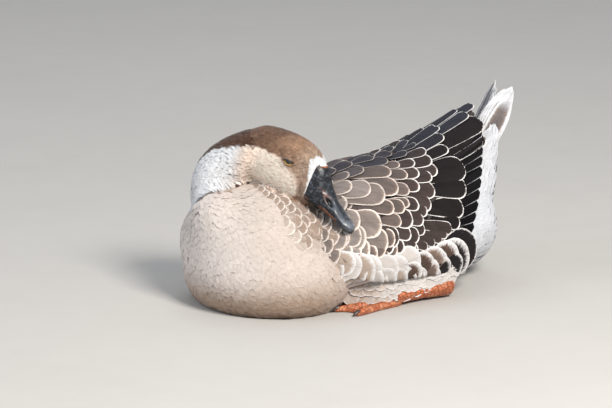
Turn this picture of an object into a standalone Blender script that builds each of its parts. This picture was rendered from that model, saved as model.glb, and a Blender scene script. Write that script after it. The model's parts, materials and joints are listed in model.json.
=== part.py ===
"""A domestic goose at rest on its belly, life size, with its head laid back on its left shoulder.

Metres, +Z up. The goose faces -X, its left side is -Y. The floor is z = 0, and at the end the whole bird is
moved so that the middle of its box stands over the origin.

The soft body is modelled as closed lofts and ellipsoids that are joined, remeshed and smoothed into one form,
and the pieces are then parted by thin cuts, so that neighbours follow each other's surface.
"""

import math

import bmesh
import bpy
import numpy as np
from mathutils import Matrix, Vector

# ---- driving dimensions ---------------------------------------------------------------------------------------
GAP = 0.0004  # the thin cut left between neighbouring pieces
CUT_BLOCK = 0.7  # a cube that covers one side of a flat cut
FLOOR = 0.0

# The trunk without wings: a station is (x, half width, top, bottom).
TRUNK_STATIONS = (
    (-0.150, 0.050, 0.092, 0.018),
    (-0.105, 0.084, 0.098, 0.000),
    (-0.055, 0.098, 0.106, -0.004),
    (0.000, 0.100, 0.124, -0.005),
    (0.060, 0.094, 0.126, -0.004),
    (0.110, 0.080, 0.122, 0.002),
    (0.150, 0.060, 0.114, 0.012),
    (0.176, 0.036, 0.104, 0.030),
)
BREAST_CENTRE, BREAST_RADII = (-0.1115, 0.009, 0.064), (0.083, 0.098, 0.072)
FOLD_CENTRE, FOLD_RADII = (-0.157, 0.010, 0.097), (0.034, 0.042, 0.034)  # the fold before the neck's root
CROP_CENTRE, CROP_RADII = (-0.105, -0.006, 0.034), (0.093, 0.108, 0.064)  # the lower breast, heavy on the floor
RUMP_CENTRE, RUMP_RADII = (0.137, 0.0, 0.056), (0.063, 0.072, 0.056)
BACK_CENTRE, BACK_RADII = (0.112, 0.0, 0.098), (0.076, 0.056, 0.042)
THIGH_CENTRE, THIGH_RADII = (0.080, 0.056, 0.054), (0.068, 0.041, 0.046)
# The coverts under the tail: a station is (x, z, half width, half depth).
VENT_STATIONS = (
    (0.150, 0.060, 0.050, 0.042),
    (0.180, 0.110, 0.036, 0.027),
    (0.1975, 0.158, 0.024, 0.013),
    (0.2085, 0.184, 0.014, 0.004),
)
BODY_VOXEL = 0.0055
BODY_TRIANGLES = 1700
BREAST_CUT_X = -0.098  # where the breast is parted from the trunk

# The neck runs up out of the breast, bends over and ends at the back of the head.
NECK_LINE = (
    (-0.126, 0.020, 0.060),
    (-0.139, 0.034, 0.096),
    (-0.141, 0.044, 0.126),
    (-0.134, 0.041, 0.146),
    (-0.120, 0.027, 0.1600),
    (-0.105, 0.008, 0.1692),
    (-0.095, -0.009, 0.1648),
    (-0.088, -0.024, 0.1570),
)
NECK_RADII = (0.040, 0.035, 0.031, 0.0295, 0.0285, 0.0270, 0.0225, 0.0170)
NECK_BEND = 3  # the point of the line where the lower neck ends

# The head's own frame: origin in the middle of the bill's base, x forward, y to the bird's left, z to the crown.
HEAD_ORIGIN = Vector((-0.0752, -0.0550, 0.1465))
HEAD_FORWARD = Vector((0.34, -0.785, -0.515))
HEAD_CROWN = Vector((0.225, -0.465, 0.860))
# A head station is (x, half width, crown, throat), in the head's frame.
HEAD_STATIONS = (
    (-0.092, 0.0120, 0.0020, -0.0280),
    (-0.084, 0.0210, 0.0112, -0.0400),
    (-0.074, 0.0255, 0.0166, -0.0470),
    (-0.062, 0.0268, 0.0218, -0.0465),
    (-0.048, 0.0272, 0.0268, -0.0450),
    (-0.034, 0.0264, 0.0298, -0.0450),
    (-0.020, 0.0242, 0.0308, -0.0425),
    (-0.008, 0.0208, 0.0286, -0.0365),
    (0.0000, 0.0182, 0.0258, -0.0300),
)
BASE_TOP, BASE_SLANT = 0.0225, 0.24  # the feather edge at the bill: its top, and how far it comes forward going down
BASE_REACH = 0.034  # how far back in the head, and out along the bill, the slant fades away
BILL_LENGTH = 0.0716
# A bill station is (share of the length, half width, culmen, mouth line).
BILL_STATIONS = (
    (0.000, 0.0172, 0.0250, -0.0170),
    (0.120, 0.0160, 0.0190, -0.0164),
    (0.280, 0.0140, 0.0066, -0.0157),
    (0.480, 0.0122, -0.0024, -0.0158),
    (0.680, 0.0116, -0.0086, -0.0171),
    (0.850, 0.0112, -0.0122, -0.0187),
    (0.950, 0.0088, -0.0150, -0.0199),
    (1.000, 0.0038, -0.0166, -0.0206),
)
LOWER_BILL_DEPTH = (0.0066, 0.0062, 0.0054, 0.0047, 0.0040, 0.0034, 0.0026)  # below the mouth line
EYE_CENTRE, EYE_RADIUS = (-0.0290, 0.0185, 0.0082), 0.0092

# The wing: a station is (share of the way back, half width, centre height, rise above it, thickness, pitch).
# A pitch of 1 is a round arch; a larger one is steeper sided, like a roof.
WING_STATIONS = (
    (0.00, 0.082, 0.062, 0.034, 0.030, 1.00),
    (0.12, 0.103, 0.056, 0.064, 0.036, 1.00),
    (0.28, 0.114, 0.050, 0.085, 0.036, 1.00),
    (0.45, 0.118, 0.048, 0.097, 0.034, 1.03),
    (0.65, 0.117, 0.046, 0.104, 0.030, 1.10),
    (0.82, 0.114, 0.044, 0.124, 0.016, 1.22),
    (1.00, 0.108, 0.040, 0.154, 0.004, 1.30),
)
WING_FRONT_X = -0.096
WING_REAR_X, WING_REAR_Z = 0.102, 0.053  # the low rear corner
WING_REAR_LEAN, WING_REAR_SWEEP = 0.456, 0.63  # how the rear edge leans back going up, and how that grows
WING_LOW_ANGLE = (88.0, 96.0)  # degrees from straight up, at the front and at the back
FLIGHT_FROM, FLIGHT_CUT = (0.034, 0.0, 0.053), (0.95, 0.0, -0.31)  # where the flight feathers' node begins

TAIL_BASE, TAIL_LENGTH, TAIL_RISE = Vector((0.1525, 0.0, 0.096)), 0.1365, math.radians(59)
TAIL_SPREAD, TAIL_HALF_BASE, TAIL_ARCH, TAIL_ROUND = math.radians(3.6), 0.015, 0.006, 0.03
TAIL_THICK_BASE, TAIL_THICK_TIP = 0.0090, 0.0022

HOCK = (0.074, -0.103, 0.0125)
TOE_JOINT = (0.000, -0.105, 0.0095)
SHANK_STEPS, SHANK_RADII = (-0.10, -0.04, 0.10, 0.45, 0.80, 1.00), (0.0040, 0.0105, 0.0112, 0.0088, 0.0088, 0.0095)
TOE_LENGTHS, TOE_ANGLES = (0.066, 0.074, 0.064), (-16, 8, 31)  # outer, middle and inner toe, degrees from forward
TOE_RADIUS, WEB_THICK = 0.0062, 0.0030

COLOURS = {
    "tan": (0.66, 0.52, 0.43),
    "cream": (0.80, 0.70, 0.62),
    "brown": (0.20, 0.12, 0.08),
    "slate": (0.10, 0.075, 0.065),
    "white": (0.86, 0.86, 0.86),
    "bill": (0.035, 0.038, 0.045),
    "eye": (0.05, 0.03, 0.01),
    "orange": (0.72, 0.20, 0.09),
}


# ---- helpers --------------------------------------------------------------------------------------------------
def clear_scene():
    for obj in list(bpy.data.objects):
        bpy.data.objects.remove(obj)


def curve_through(stations, count):
    """Rows of a table read at even steps from a smooth curve through them (Catmull-Rom by row number)."""
    rows = np.array(stations, float)
    padded = np.vstack([2 * rows[0] - rows[1], rows, 2 * rows[-1] - rows[-2]])
    at = np.linspace(0, len(rows) - 1, count)
    i = np.minimum(at.astype(int), len(rows) - 2)
    t = (at - i)[:, None]
    a, b, c, d = (padded[i + n] for n in range(4))
    return 0.5 * (2 * b + (c - a) * t + (2 * a - 5 * b + 4 * c - d) * t**2 + (3 * b - a - 3 * c + d) * t**3)


def new_object(name, mesh, collection):
    obj = bpy.data.objects.new(name, mesh)
    collection.objects.link(obj)
    return obj


def loft(name, rings, collection):
    """A closed solid through rings of equal point counts, with a flat cap on each end."""
    shape = bmesh.new()
    rows = [[shape.verts.new(p) for p in ring] for ring in rings]
    count = len(rows[0])
    for near, far in zip(rows, rows[1:]):
        for i in range(count):
            j = (i + 1) % count
            shape.faces.new((near[i], near[j], far[j], far[i]))
    shape.faces.new(rows[0])
    shape.faces.new(rows[-1])
    bmesh.ops.recalc_face_normals(shape, faces=shape.faces)
    if shape.calc_volume(signed=True) < 0:
        bmesh.ops.reverse_faces(shape, faces=shape.faces)
    mesh = bpy.data.meshes.new(name)
    shape.to_mesh(mesh)
    shape.free()
    return new_object(name, mesh, collection)


def oval(centre, side, up, half_width, above, below, count, square=1.0):
    """A ring of points round a centre, with its own reach above and below, squarer as square drops under 1."""
    ring = []
    for n in range(count):
        angle = 2 * math.pi * n / count
        c, s = math.cos(angle), math.sin(angle)
        across = math.copysign(abs(c) ** square, c) * half_width
        rise = math.copysign(abs(s) ** square, s) * (above if s > 0 else below)
        ring.append(Vector(centre) + side * across + up * rise)
    return ring


def tube(name, line, radii, steps, count, collection):
    """A round loft along a smooth line, its sections turned with the line without twist."""
    rows = curve_through([(*p, r) for p, r in zip(line, radii)], steps)
    points = [Vector(r[:3]) for r in rows]
    side = Vector((0, 1, 0))
    rings = []
    for n, row in enumerate(rows):
        ahead = (points[min(n + 1, steps - 1)] - points[max(n - 1, 0)]).normalized()
        side = (side - ahead * side.dot(ahead)).normalized()
        rings.append(oval(points[n], side, ahead.cross(side), row[3], row[3], row[3], count))
    return loft(name, rings, collection)


def ellipsoid(name, centre, radii, collection):
    shape = bmesh.new()
    bmesh.ops.create_uvsphere(shape, u_segments=32, v_segments=20, radius=1)
    mesh = bpy.data.meshes.new(name)
    shape.to_mesh(mesh)
    shape.free()
    mesh.transform(Matrix.Translation(centre) @ Matrix.Diagonal((*radii, 1)))
    return new_object(name, mesh, collection)


def box(name, low, high, collection):
    shape = bmesh.new()
    bmesh.ops.create_cube(shape, size=1)
    mesh = bpy.data.meshes.new(name)
    shape.to_mesh(mesh)
    shape.free()
    low, high = Vector(low), Vector(high)
    mesh.transform(Matrix.Translation((low + high) / 2) @ Matrix.Diagonal((*(high - low), 1)))
    return new_object(name, mesh, collection)


def apply_modifiers(obj):
    graph = bpy.context.evaluated_depsgraph_get()
    mesh = bpy.data.meshes.new_from_object(obj.evaluated_get(graph))
    obj.modifiers.clear()
    obj.data = mesh


def combine(obj, other, operation):
    modifier = obj.modifiers.new(operation.lower(), "BOOLEAN")
    modifier.operation = operation
    modifier.solver = "EXACT"
    modifier.use_self = True
    modifier.object = other
    apply_modifiers(obj)


def copy_of(obj, name, collection):
    return new_object(name, obj.data.copy(), collection)


def swollen(obj, by, collection):
    """A copy whose surface stands out by that much: what a neighbour is cut with."""
    twin = copy_of(obj, obj.name + "_swollen", collection)
    shape = bmesh.new()
    shape.from_mesh(twin.data)
    bmesh.ops.triangulate(shape, faces=shape.faces)
    shape.normal_update()
    moves = [v.normal * by * min(v.calc_shell_factor(), 2.0) for v in shape.verts]
    for vert, move in zip(shape.verts, moves):
        vert.co += move
    shape.to_mesh(twin.data)
    shape.free()
    return twin


def cut_by(obj, others, guides):
    """Takes the swollen shape of each neighbour out of obj, which leaves the thin cut between them."""
    for other in others:
        cutter = swollen(other, GAP, guides)
        combine(obj, cutter, "DIFFERENCE")
        bpy.data.objects.remove(cutter)
    keep_largest(obj)


def keep_largest(obj):
    """Drops the crumbs that a cut may leave beside the piece."""
    shape = bmesh.new()
    shape.from_mesh(obj.data)
    left, groups = set(shape.verts), []
    while left:
        group, edge = set(), [left.pop()]
        while edge:
            vert = edge.pop()
            group.add(vert)
            for link in vert.link_edges:
                other = link.other_vert(vert)
                if other in left:
                    left.discard(other)
                    edge.append(other)
        groups.append(group)
    groups.sort(key=len)
    bmesh.ops.delete(shape, geom=[v for group in groups[:-1] for v in group], context="VERTS")
    shape.to_mesh(obj.data)
    shape.free()


def even_form(obj, voxel, smooth_steps, triangles):
    """Joins what overlaps into one even skin, rounds it and thins it to about that many triangles."""
    remesh = obj.modifiers.new("one skin", "REMESH")
    remesh.mode = "VOXEL"
    remesh.voxel_size = voxel
    smooth = obj.modifiers.new("round", "SMOOTH")
    smooth.factor = 0.5
    smooth.iterations = smooth_steps
    apply_modifiers(obj)
    faces = sum(len(p.vertices) - 2 for p in obj.data.polygons)
    thin = obj.modifiers.new("thin", "DECIMATE")
    thin.ratio = min(1.0, triangles / faces)
    apply_modifiers(obj)


def finish_part(obj, name, colour, roughness, parts):
    """Names the piece, gives it its material and smooth shading, and files it with the parts."""
    obj.name = obj.data.name = name
    material = bpy.data.materials.get(colour) or bpy.data.materials.new(colour)
    material.use_nodes = True
    shader = material.node_tree.nodes["Principled BSDF"]
    shader.inputs["Base Color"].default_value = (*COLOURS[colour], 1)
    shader.inputs["Roughness"].default_value = roughness
    shader.inputs["Metallic"].default_value = 0.0
    obj.data.materials.clear()
    obj.data.materials.append(material)
    obj.data.shade_smooth()
    if obj.name not in parts.objects:
        parts.objects.link(obj)
    for other in obj.users_collection:
        if other is not parts:
            other.objects.unlink(obj)
    return obj


# ---- the pieces -----------------------------------------------------------------------------------------------
def make_body(guides):
    """The trunk, breast, rump and the cone of coverts under the tail, as one rounded form."""
    rings = []
    for x, half, top, bottom in curve_through(TRUNK_STATIONS, 22):
        middle = (top + bottom) / 2
        reach = (top - bottom) / 2
        centre = Vector((x, 0, middle))
        rings.append(oval(centre, Vector((0, 1, 0)), Vector((0, 0, 1)), half, reach, reach, 32, 0.92))
    body = loft("body", rings, guides)
    for extra in (
        ellipsoid("breast form", BREAST_CENTRE, BREAST_RADII, guides),
        ellipsoid("crop form", CROP_CENTRE, CROP_RADII, guides),
        ellipsoid("fold form", FOLD_CENTRE, FOLD_RADII, guides),
        ellipsoid("rump form", RUMP_CENTRE, RUMP_RADII, guides),
        ellipsoid("back form", BACK_CENTRE, BACK_RADII, guides),
        ellipsoid("left thigh form", (THIGH_CENTRE[0], -THIGH_CENTRE[1], THIGH_CENTRE[2]), THIGH_RADII, guides),
        ellipsoid("right thigh form", THIGH_CENTRE, THIGH_RADII, guides),
        make_vent(guides),
    ):
        combine(body, extra, "UNION")
        bpy.data.objects.remove(extra)
    even_form(body, BODY_VOXEL, 8, BODY_TRIANGLES)
    under = box("under floor", (-0.4, -0.3, -0.2), (0.4, 0.3, FLOOR), guides)
    combine(body, under, "DIFFERENCE")
    bpy.data.objects.remove(under)
    return body


def make_vent(guides):
    """The wedge of soft coverts that backs the tail, narrowing upwards."""
    rings = []
    for x, z, half, depth in curve_through(VENT_STATIONS, 10):
        rings.append(oval((x, 0, z), Vector((0, 1, 0)), Vector((-0.92, 0, 0.39)), half, depth, depth, 20))
    return loft("vent form", rings, guides)


def make_neck(guides):
    return tube("neck", NECK_LINE, NECK_RADII, 16, 24, guides)


def head_matrix():
    forward = HEAD_FORWARD.normalized()
    left = HEAD_CROWN.cross(forward).normalized()
    crown = forward.cross(left)
    axes = Matrix((forward, left, crown)).transposed().to_4x4()
    return Matrix.Translation(HEAD_ORIGIN) @ axes


def slant(z, away):
    """How far forward a point at height z stands, for the slanted edge between the head and the bill."""
    return BASE_SLANT * (BASE_TOP - z) * max(0.0, 1.0 - away / BASE_REACH)


def make_head(guides):
    """The skull with its crown, cheeks and throat, from the nape to the edge of the bill."""
    to_world = head_matrix()
    rings = []
    for x, half, crown, throat in curve_through(HEAD_STATIONS, 15):
        middle = (crown + throat) / 2
        reach = (crown - throat) / 2
        ring = oval((x, 0, middle), Vector((0, 1, 0)), Vector((0, 0, 1)), half, reach, reach, 24, 0.95)
        rings.append([to_world @ (p + Vector((slant(p.z, -x), 0, 0))) for p in ring])
    return loft("head", rings, guides)


def bill_ring(x, half, round_z, flat_z, count=11):
    """A half-oval section of the bill: round on one side and flat along the mouth line."""
    ring = []
    for n in range(count):
        angle = math.pi * n / (count - 1)
        rise = max(0.0, math.sin(angle)) ** 0.8
        ring.append(Vector((x, half * math.cos(angle), flat_z + (round_z - flat_z) * rise)))
    ring.append(Vector((x, 0, flat_z)))
    return [p + Vector((slant(p.z, x), 0, 0)) for p in ring]


def make_bill(guides):
    """The upper and lower halves of the bill, parted along the mouth line."""
    to_world = head_matrix()
    steps = 15
    rows = curve_through(BILL_STATIONS, steps)
    depths = curve_through([(d,) for d in LOWER_BILL_DEPTH], steps - 1)[:, 0]
    upper, lower = [], []
    for share, half, culmen, mouth in rows:
        ring = bill_ring(GAP + share * BILL_LENGTH, half, culmen, mouth)
        upper.append([to_world @ p for p in ring])
    for (share, half, _, mouth), depth in zip(rows[: steps - 1], depths):
        ring = bill_ring(GAP + share * BILL_LENGTH, half * 0.92, mouth - GAP - depth, mouth - GAP)
        lower.append([to_world @ p for p in ring])
    return loft("bill_upper", upper, guides), loft("bill_lower", lower, guides)


def make_eye(side, guides):
    x, y, z = EYE_CENTRE
    centre = head_matrix() @ Vector((x, side * y, z))
    shape = bmesh.new()
    bmesh.ops.create_uvsphere(shape, u_segments=12, v_segments=8, radius=EYE_RADIUS)
    mesh = bpy.data.meshes.new("eye")
    shape.to_mesh(mesh)
    shape.free()
    mesh.transform(Matrix.Translation(centre) @ head_matrix().to_3x3().to_4x4())
    return new_object("eye", mesh, guides)


def wing_point(row, angle, inset):
    """A point of the wing's cover at an angle down from the ridge, set in by inset."""
    share, half, centre_z, rise, _, pitch = row
    s, c = math.sin(angle), math.cos(angle)
    y = -(half - inset) * abs(s) ** pitch
    z = centre_z + (rise - inset) * math.copysign(abs(c) ** pitch, c)
    up = z - WING_REAR_Z
    rear = WING_REAR_X + WING_REAR_LEAN * up + WING_REAR_SWEEP * up * abs(up)
    return Vector((WING_FRONT_X + share * (rear - WING_FRONT_X), y, z))


def make_wing(name, side, guides):
    """The folded wing: an arched slab from the ridge of the back down to the flank."""
    steps, count = 21, 13
    rings = []
    for n, row in enumerate(curve_through(WING_STATIONS, steps)):
        share = n / (steps - 1)
        top = math.asin((0.0006 / row[1]) ** (1 / row[5]))
        low = math.radians(WING_LOW_ANGLE[0] + (WING_LOW_ANGLE[1] - WING_LOW_ANGLE[0]) * share)
        angles = [top + (low - top) * i / (count - 1) for i in range(count)]
        outer = [wing_point(row, a, 0.0) for a in angles]
        inner = [wing_point(row, a, row[4]) for a in reversed(angles)]
        for p in inner:
            p.y = min(p.y, -0.0006)
        rings.append([Vector((p.x, -side * p.y, p.z)) for p in outer + inner])
    return loft(name, rings, guides)


def make_tail(guides):
    """The fan of tail feathers: an arched plate that thins towards the tips."""
    along = Vector((math.cos(TAIL_RISE), 0, math.sin(TAIL_RISE)))
    front = Vector((-math.sin(TAIL_RISE), 0, math.cos(TAIL_RISE)))
    steps, count = 10, 13
    rings = []
    for n in range(steps):
        share = n / (steps - 1)
        half_thick = (TAIL_THICK_BASE + (TAIL_THICK_TIP - TAIL_THICK_BASE) * share) / 2
        line = []
        for i in range(count):
            k = 2 * i / (count - 1) - 1
            reach = TAIL_LENGTH * share * (1 - TAIL_ROUND * k * k)
            turn = k * TAIL_SPREAD
            p = TAIL_BASE + along * reach * math.cos(turn) - front * TAIL_ARCH * k * k
            p = p + Vector((0, k * TAIL_HALF_BASE + reach * math.sin(turn), 0))
            line.append(p)
        rings.append([p + front * half_thick for p in line] + [p - front * half_thick for p in reversed(line)])
    return loft("tail", rings, guides)


def make_shank(guides):
    """The bare lower leg, lying along the floor from the hock forward to the toes."""
    hock, joint = Vector(HOCK), Vector(TOE_JOINT)
    line = [hock + (joint - hock) * s for s in SHANK_STEPS]
    return tube("shank", line, SHANK_RADII, 9, 12, guides)


def make_foot(guides):
    """Three forward toes joined by a web, flat on the floor."""
    joint = Vector((TOE_JOINT[0], TOE_JOINT[1], 0))
    tips = []
    for length, angle in zip(TOE_LENGTHS, TOE_ANGLES):
        a = math.radians(angle)
        tips.append(joint + Vector((-math.cos(a) * length, math.sin(a) * length, 0)))
    web_edge = []
    for near, far in zip(tips, tips[1:]):
        for n in range(5):
            t = n / 5
            p = near.lerp(far, t)
            pull = 0.86 + 0.10 * (2 * t - 1) ** 2
            web_edge.append(joint + (p - joint) * pull)
    web_edge.append(joint + (tips[2] - joint) * 0.96)
    rim = [joint + Vector((0.006, 0.0065, 0)), joint + Vector((0.006, -0.0065, 0))] + web_edge
    lower = [Vector((p.x, p.y, 0.0)) for p in rim]
    upper = [Vector((p.x, p.y, WEB_THICK)) for p in rim]
    foot = loft("foot", [lower, upper], guides)
    for tip, length in zip(tips, TOE_LENGTHS):
        line = [joint + (tip - joint) * s for s in (-0.08, 0.25, 0.6, 0.9, 1.0)]
        for n, p in enumerate(line):
            p.z = TOE_RADIUS * (0.55, 0.50, 0.46, 0.36, 0.22)[n]
        radii = [TOE_RADIUS * r for r in (1.0, 0.86, 0.78, 0.62, 0.30)]
        toe = tube("toe", line, radii, 7, 8, guides)
        combine(foot, toe, "UNION")
        bpy.data.objects.remove(toe)
    under = box("under foot", (-0.3, -0.3, -0.1), (0.3, 0.3, FLOOR), guides)
    combine(foot, under, "DIFFERENCE")
    bpy.data.objects.remove(under)
    return foot


def flatten_below(obj, guides):
    under = box("under piece", (-0.4, -0.4, -0.2), (0.4, 0.4, FLOOR), guides)
    combine(obj, under, "DIFFERENCE")
    bpy.data.objects.remove(under)


def mirrored(obj, name, guides):
    """A twin on the other side of the y = 0 plane, with its faces turned back outwards."""
    twin = copy_of(obj, name, guides)
    twin.data.transform(Matrix.Diagonal((1, -1, 1, 1)))
    twin.data.flip_normals()
    return twin


def block_across(point, direction, size, guides):
    """A cube whose middle is at point, with one pair of faces square to direction."""
    shape = bmesh.new()
    bmesh.ops.create_cube(shape, size=size)
    mesh = bpy.data.meshes.new("block")
    shape.to_mesh(mesh)
    shape.free()
    mesh.transform(Matrix.Translation(point) @ direction.to_track_quat("Z", "Y").to_matrix().to_4x4())
    return new_object("block", mesh, guides)


def split(obj, point, ahead, guides):
    """Two pieces either side of a thin cut square to ahead: the one before the point and the one beyond it."""
    ahead = Vector(ahead).normalized()
    pieces = obj, copy_of(obj, obj.name + " beyond", guides)
    for piece, side in zip(pieces, (1, -1)):
        middle = Vector(point) + ahead * side * (CUT_BLOCK / 2 - GAP / 2)
        block = block_across(middle, ahead, CUT_BLOCK, guides)
        combine(piece, block, "DIFFERENCE")
        bpy.data.objects.remove(block)
        keep_largest(piece)
    return pieces


def centre_over_origin(parts):
    """Moves every piece so that the box of the whole bird stands with its bottom's middle on the origin."""
    corners = np.array([v.co for obj in parts.objects for v in obj.data.vertices])
    low, high = corners.min(axis=0), corners.max(axis=0)
    middle = Vector(((low[0] + high[0]) / 2, (low[1] + high[1]) / 2, low[2]))
    for obj in parts.objects:
        obj.data.transform(Matrix.Translation(-middle))
    print("moved by", [round(float(-c), 6) for c in middle])


def main():
    clear_scene()
    scene = bpy.context.scene
    parts = bpy.data.collections.new("goose")
    guides = bpy.data.collections.new("guides")
    for collection in (parts, guides):
        scene.collection.children.link(collection)

    body = make_body(guides)
    shanks = {"left": make_shank(guides)}
    feet = {"left": make_foot(guides)}
    flatten_below(shanks["left"], guides)
    cut_by(shanks["left"], [feet["left"]], guides)
    shanks["right"] = mirrored(shanks["left"], "shank right", guides)
    feet["right"] = mirrored(feet["left"], "foot right", guides)
    cut_by(body, [*shanks.values(), *feet.values()], guides)

    neck, head = make_neck(guides), make_head(guides)
    bill_upper, bill_lower = make_bill(guides)
    eyes = {"left": make_eye(1, guides), "right": make_eye(-1, guides)}
    cut_by(body, [head, bill_upper, bill_lower], guides)
    cut_by(head, list(eyes.values()), guides)
    cut_by(neck, [body, head], guides)

    wings, flights = {}, {}
    for side, sign in (("left", -1), ("right", 1)):
        wing = make_wing("wing " + side, sign, guides)
        cut_by(wing, [body, head, bill_upper, bill_lower], guides)
        wings[side], flights[side] = split(wing, FLIGHT_FROM, FLIGHT_CUT, guides)
    tail = make_tail(guides)
    cut_by(tail, [body, flights["left"], flights["right"]], guides)

    onward = Vector(NECK_LINE[NECK_BEND]) - Vector(NECK_LINE[NECK_BEND - 2])
    neck_lower, neck_upper = split(neck, NECK_LINE[NECK_BEND - 1], onward, guides)
    breast, trunk = split(body, (BREAST_CUT_X, 0, 0), (1, 0, 0), guides)

    finish_part(trunk, "trunk", "cream", 0.8, parts)
    finish_part(breast, "breast", "tan", 0.8, parts)
    finish_part(neck_lower, "neck_lower", "white", 0.8, parts)
    finish_part(neck_upper, "neck_upper", "cream", 0.8, parts)
    finish_part(head, "head", "brown", 0.75, parts)
    finish_part(bill_upper, "bill_upper", "bill", 0.35, parts)
    finish_part(bill_lower, "bill_lower", "bill", 0.35, parts)
    finish_part(tail, "tail", "white", 0.7, parts)
    for side in ("left", "right"):
        finish_part(eyes[side], "eye_" + side, "eye", 0.1, parts)
        finish_part(wings[side], "wing_" + side, "slate", 0.7, parts)
        finish_part(flights[side], "flight_feathers_" + side, "slate", 0.6, parts)
        finish_part(shanks[side], "shank_" + side, "orange", 0.5, parts)
        finish_part(feet[side], "foot_" + side, "orange", 0.5, parts)
    centre_over_origin(parts)


main()
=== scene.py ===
# %% [markdown]
# # A goose asleep with its head laid back
# This lesson dresses a packed set of plain solids as a domestic goose that rests on its belly. The solids
# give the true size and outline. Here they get a skin, some thousands of feathers, a horn bill, half shut
# eyes and scaled feet. Every place is worked out from the solids, so nothing has to be fitted by eye
# afterwards.

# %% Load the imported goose
import json
import math

import bmesh
import bpy
import numpy as np
from mathutils import Matrix, Vector
from mathutils.bvhtree import BVHTree

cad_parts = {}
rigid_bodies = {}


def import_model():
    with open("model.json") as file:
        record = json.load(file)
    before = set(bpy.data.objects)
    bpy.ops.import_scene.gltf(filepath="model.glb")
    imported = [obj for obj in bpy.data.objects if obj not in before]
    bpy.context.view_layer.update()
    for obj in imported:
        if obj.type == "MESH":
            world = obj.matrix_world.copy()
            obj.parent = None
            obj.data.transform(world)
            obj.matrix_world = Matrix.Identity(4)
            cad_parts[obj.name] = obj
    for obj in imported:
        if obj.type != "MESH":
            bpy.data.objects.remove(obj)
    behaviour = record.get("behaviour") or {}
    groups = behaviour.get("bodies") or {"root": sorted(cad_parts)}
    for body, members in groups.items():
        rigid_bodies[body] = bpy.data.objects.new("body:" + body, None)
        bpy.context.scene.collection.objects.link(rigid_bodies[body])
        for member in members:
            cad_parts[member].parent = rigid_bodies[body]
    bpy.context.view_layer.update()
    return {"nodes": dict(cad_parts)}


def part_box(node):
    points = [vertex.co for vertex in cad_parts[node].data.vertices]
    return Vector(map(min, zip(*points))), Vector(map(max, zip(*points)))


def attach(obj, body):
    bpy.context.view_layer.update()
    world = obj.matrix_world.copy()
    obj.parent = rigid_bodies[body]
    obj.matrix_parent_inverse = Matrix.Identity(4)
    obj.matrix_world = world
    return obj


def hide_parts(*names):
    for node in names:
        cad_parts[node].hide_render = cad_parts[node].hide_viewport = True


for leftover in list(bpy.data.objects):
    bpy.data.objects.remove(leftover)
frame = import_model()

MM = 0.001
TAKE = np.random.default_rng(26)

# %% [markdown]
# ## Small tools
# Feathers are many and alike, so the work is done on whole arrays of points at once. These helpers blend
# numbers softly, turn a paint colour as seen on a screen into the linear light that Blender mixes, and give
# a smooth noise that depends only on the place, so that each run makes the same bird.

# %% Blends, paints and noise
def ramp(value, low, high):
    """0 below low, 1 above high, and a soft rise between them."""
    share = np.clip((np.asarray(value, float) - low) / (high - low), 0, 1)
    return share * share * (3 - 2 * share)


def mix(first, second, share):
    """Blends two values or rows of colours by a share from 0 to 1."""
    share = np.asarray(share, float)
    if np.ndim(first) > 0 or np.ndim(second) > 0:
        share = share[..., None]
    return first + (np.asarray(second) - first) * share


def paint(red, green, blue):
    """A colour given as 0 to 255 on a screen, as linear light."""
    value = np.array([red, green, blue]) / 255
    return np.where(value > 0.04045, ((value + 0.055) / 1.055) ** 2.4, value / 12.92)


def unit(vectors):
    return vectors / np.maximum(np.linalg.norm(vectors, axis=-1, keepdims=True), 1e-12)


def flat_on(vectors, normals):
    """The part of each vector that lies along the surface, at length one."""
    return unit(vectors - normals * np.sum(vectors * normals, axis=-1, keepdims=True))


def mottle(points, size, seed):
    """Smooth noise from -1 to 1, in lumps of about that size."""
    cells = np.asarray(points, float) / size
    base = np.floor(cells).astype(np.int64)
    part = cells - base
    part = part * part * (3 - 2 * part)
    total = np.zeros(cells.shape[:-1])
    for corner in range(8):
        offset = np.array([(corner >> axis) & 1 for axis in range(3)])
        key = (base + offset) @ np.array([73856093, 19349663, 83492791]) + seed * 7919
        key = ((key ^ (key >> 13)) * 1274126177) & 0x7FFFFFFF
        value = ((key ^ (key >> 16)) & 0xFFFF) / 32767.5 - 1
        total += value * np.prod(np.where(offset == 1, part, 1 - part), axis=-1)
    return total


def through(stations, count):
    """Rows of a short table read at even steps from a smooth curve through them."""
    rows = np.array(stations, float)
    padded = np.vstack([2 * rows[0] - rows[1], rows, 2 * rows[-1] - rows[-2]])
    at = np.linspace(0, len(rows) - 1, count)
    i = np.minimum(at.astype(int), len(rows) - 2)
    t = (at - i)[:, None]
    a, b, c, d = (padded[i + n] for n in range(4))
    return 0.5 * (2 * b + (c - a) * t + (2 * a - 5 * b + 4 * c - d) * t**2 + (3 * b - a - 3 * c + d) * t**3)


print("noise at three places:", np.round(mottle(np.eye(3), 0.3, 1), 3))

# %% [markdown]
# ## The head's own axes
# Markings, lids and nostrils are easiest to place in a frame that turns with the head: x towards the tip of
# the bill, y to the bird's left and z to the crown. The two eye solids give the line across the head, and
# the bill's tip gives the way forward, once its droop is taken off.

# %% Find the head's frame
EYE_BACK, EYE_UP = 0.0290, 0.0082  # the eyes behind and above the middle of the bill's base
EYE_RADIUS = 0.0092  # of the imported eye
EYE_AIM, SLIT_TILT = (0.413, 0.910, -0.030), math.radians(6)  # the way an eye looks, and how its slit slopes
BILL_DROOP = math.atan2(0.0266, 0.1006)  # the bill's tip lies this much below straight ahead of the eyes
HEAD_AHEAD = 0.0752  # the bill's base lies this far in front of the bird's own zero

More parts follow.
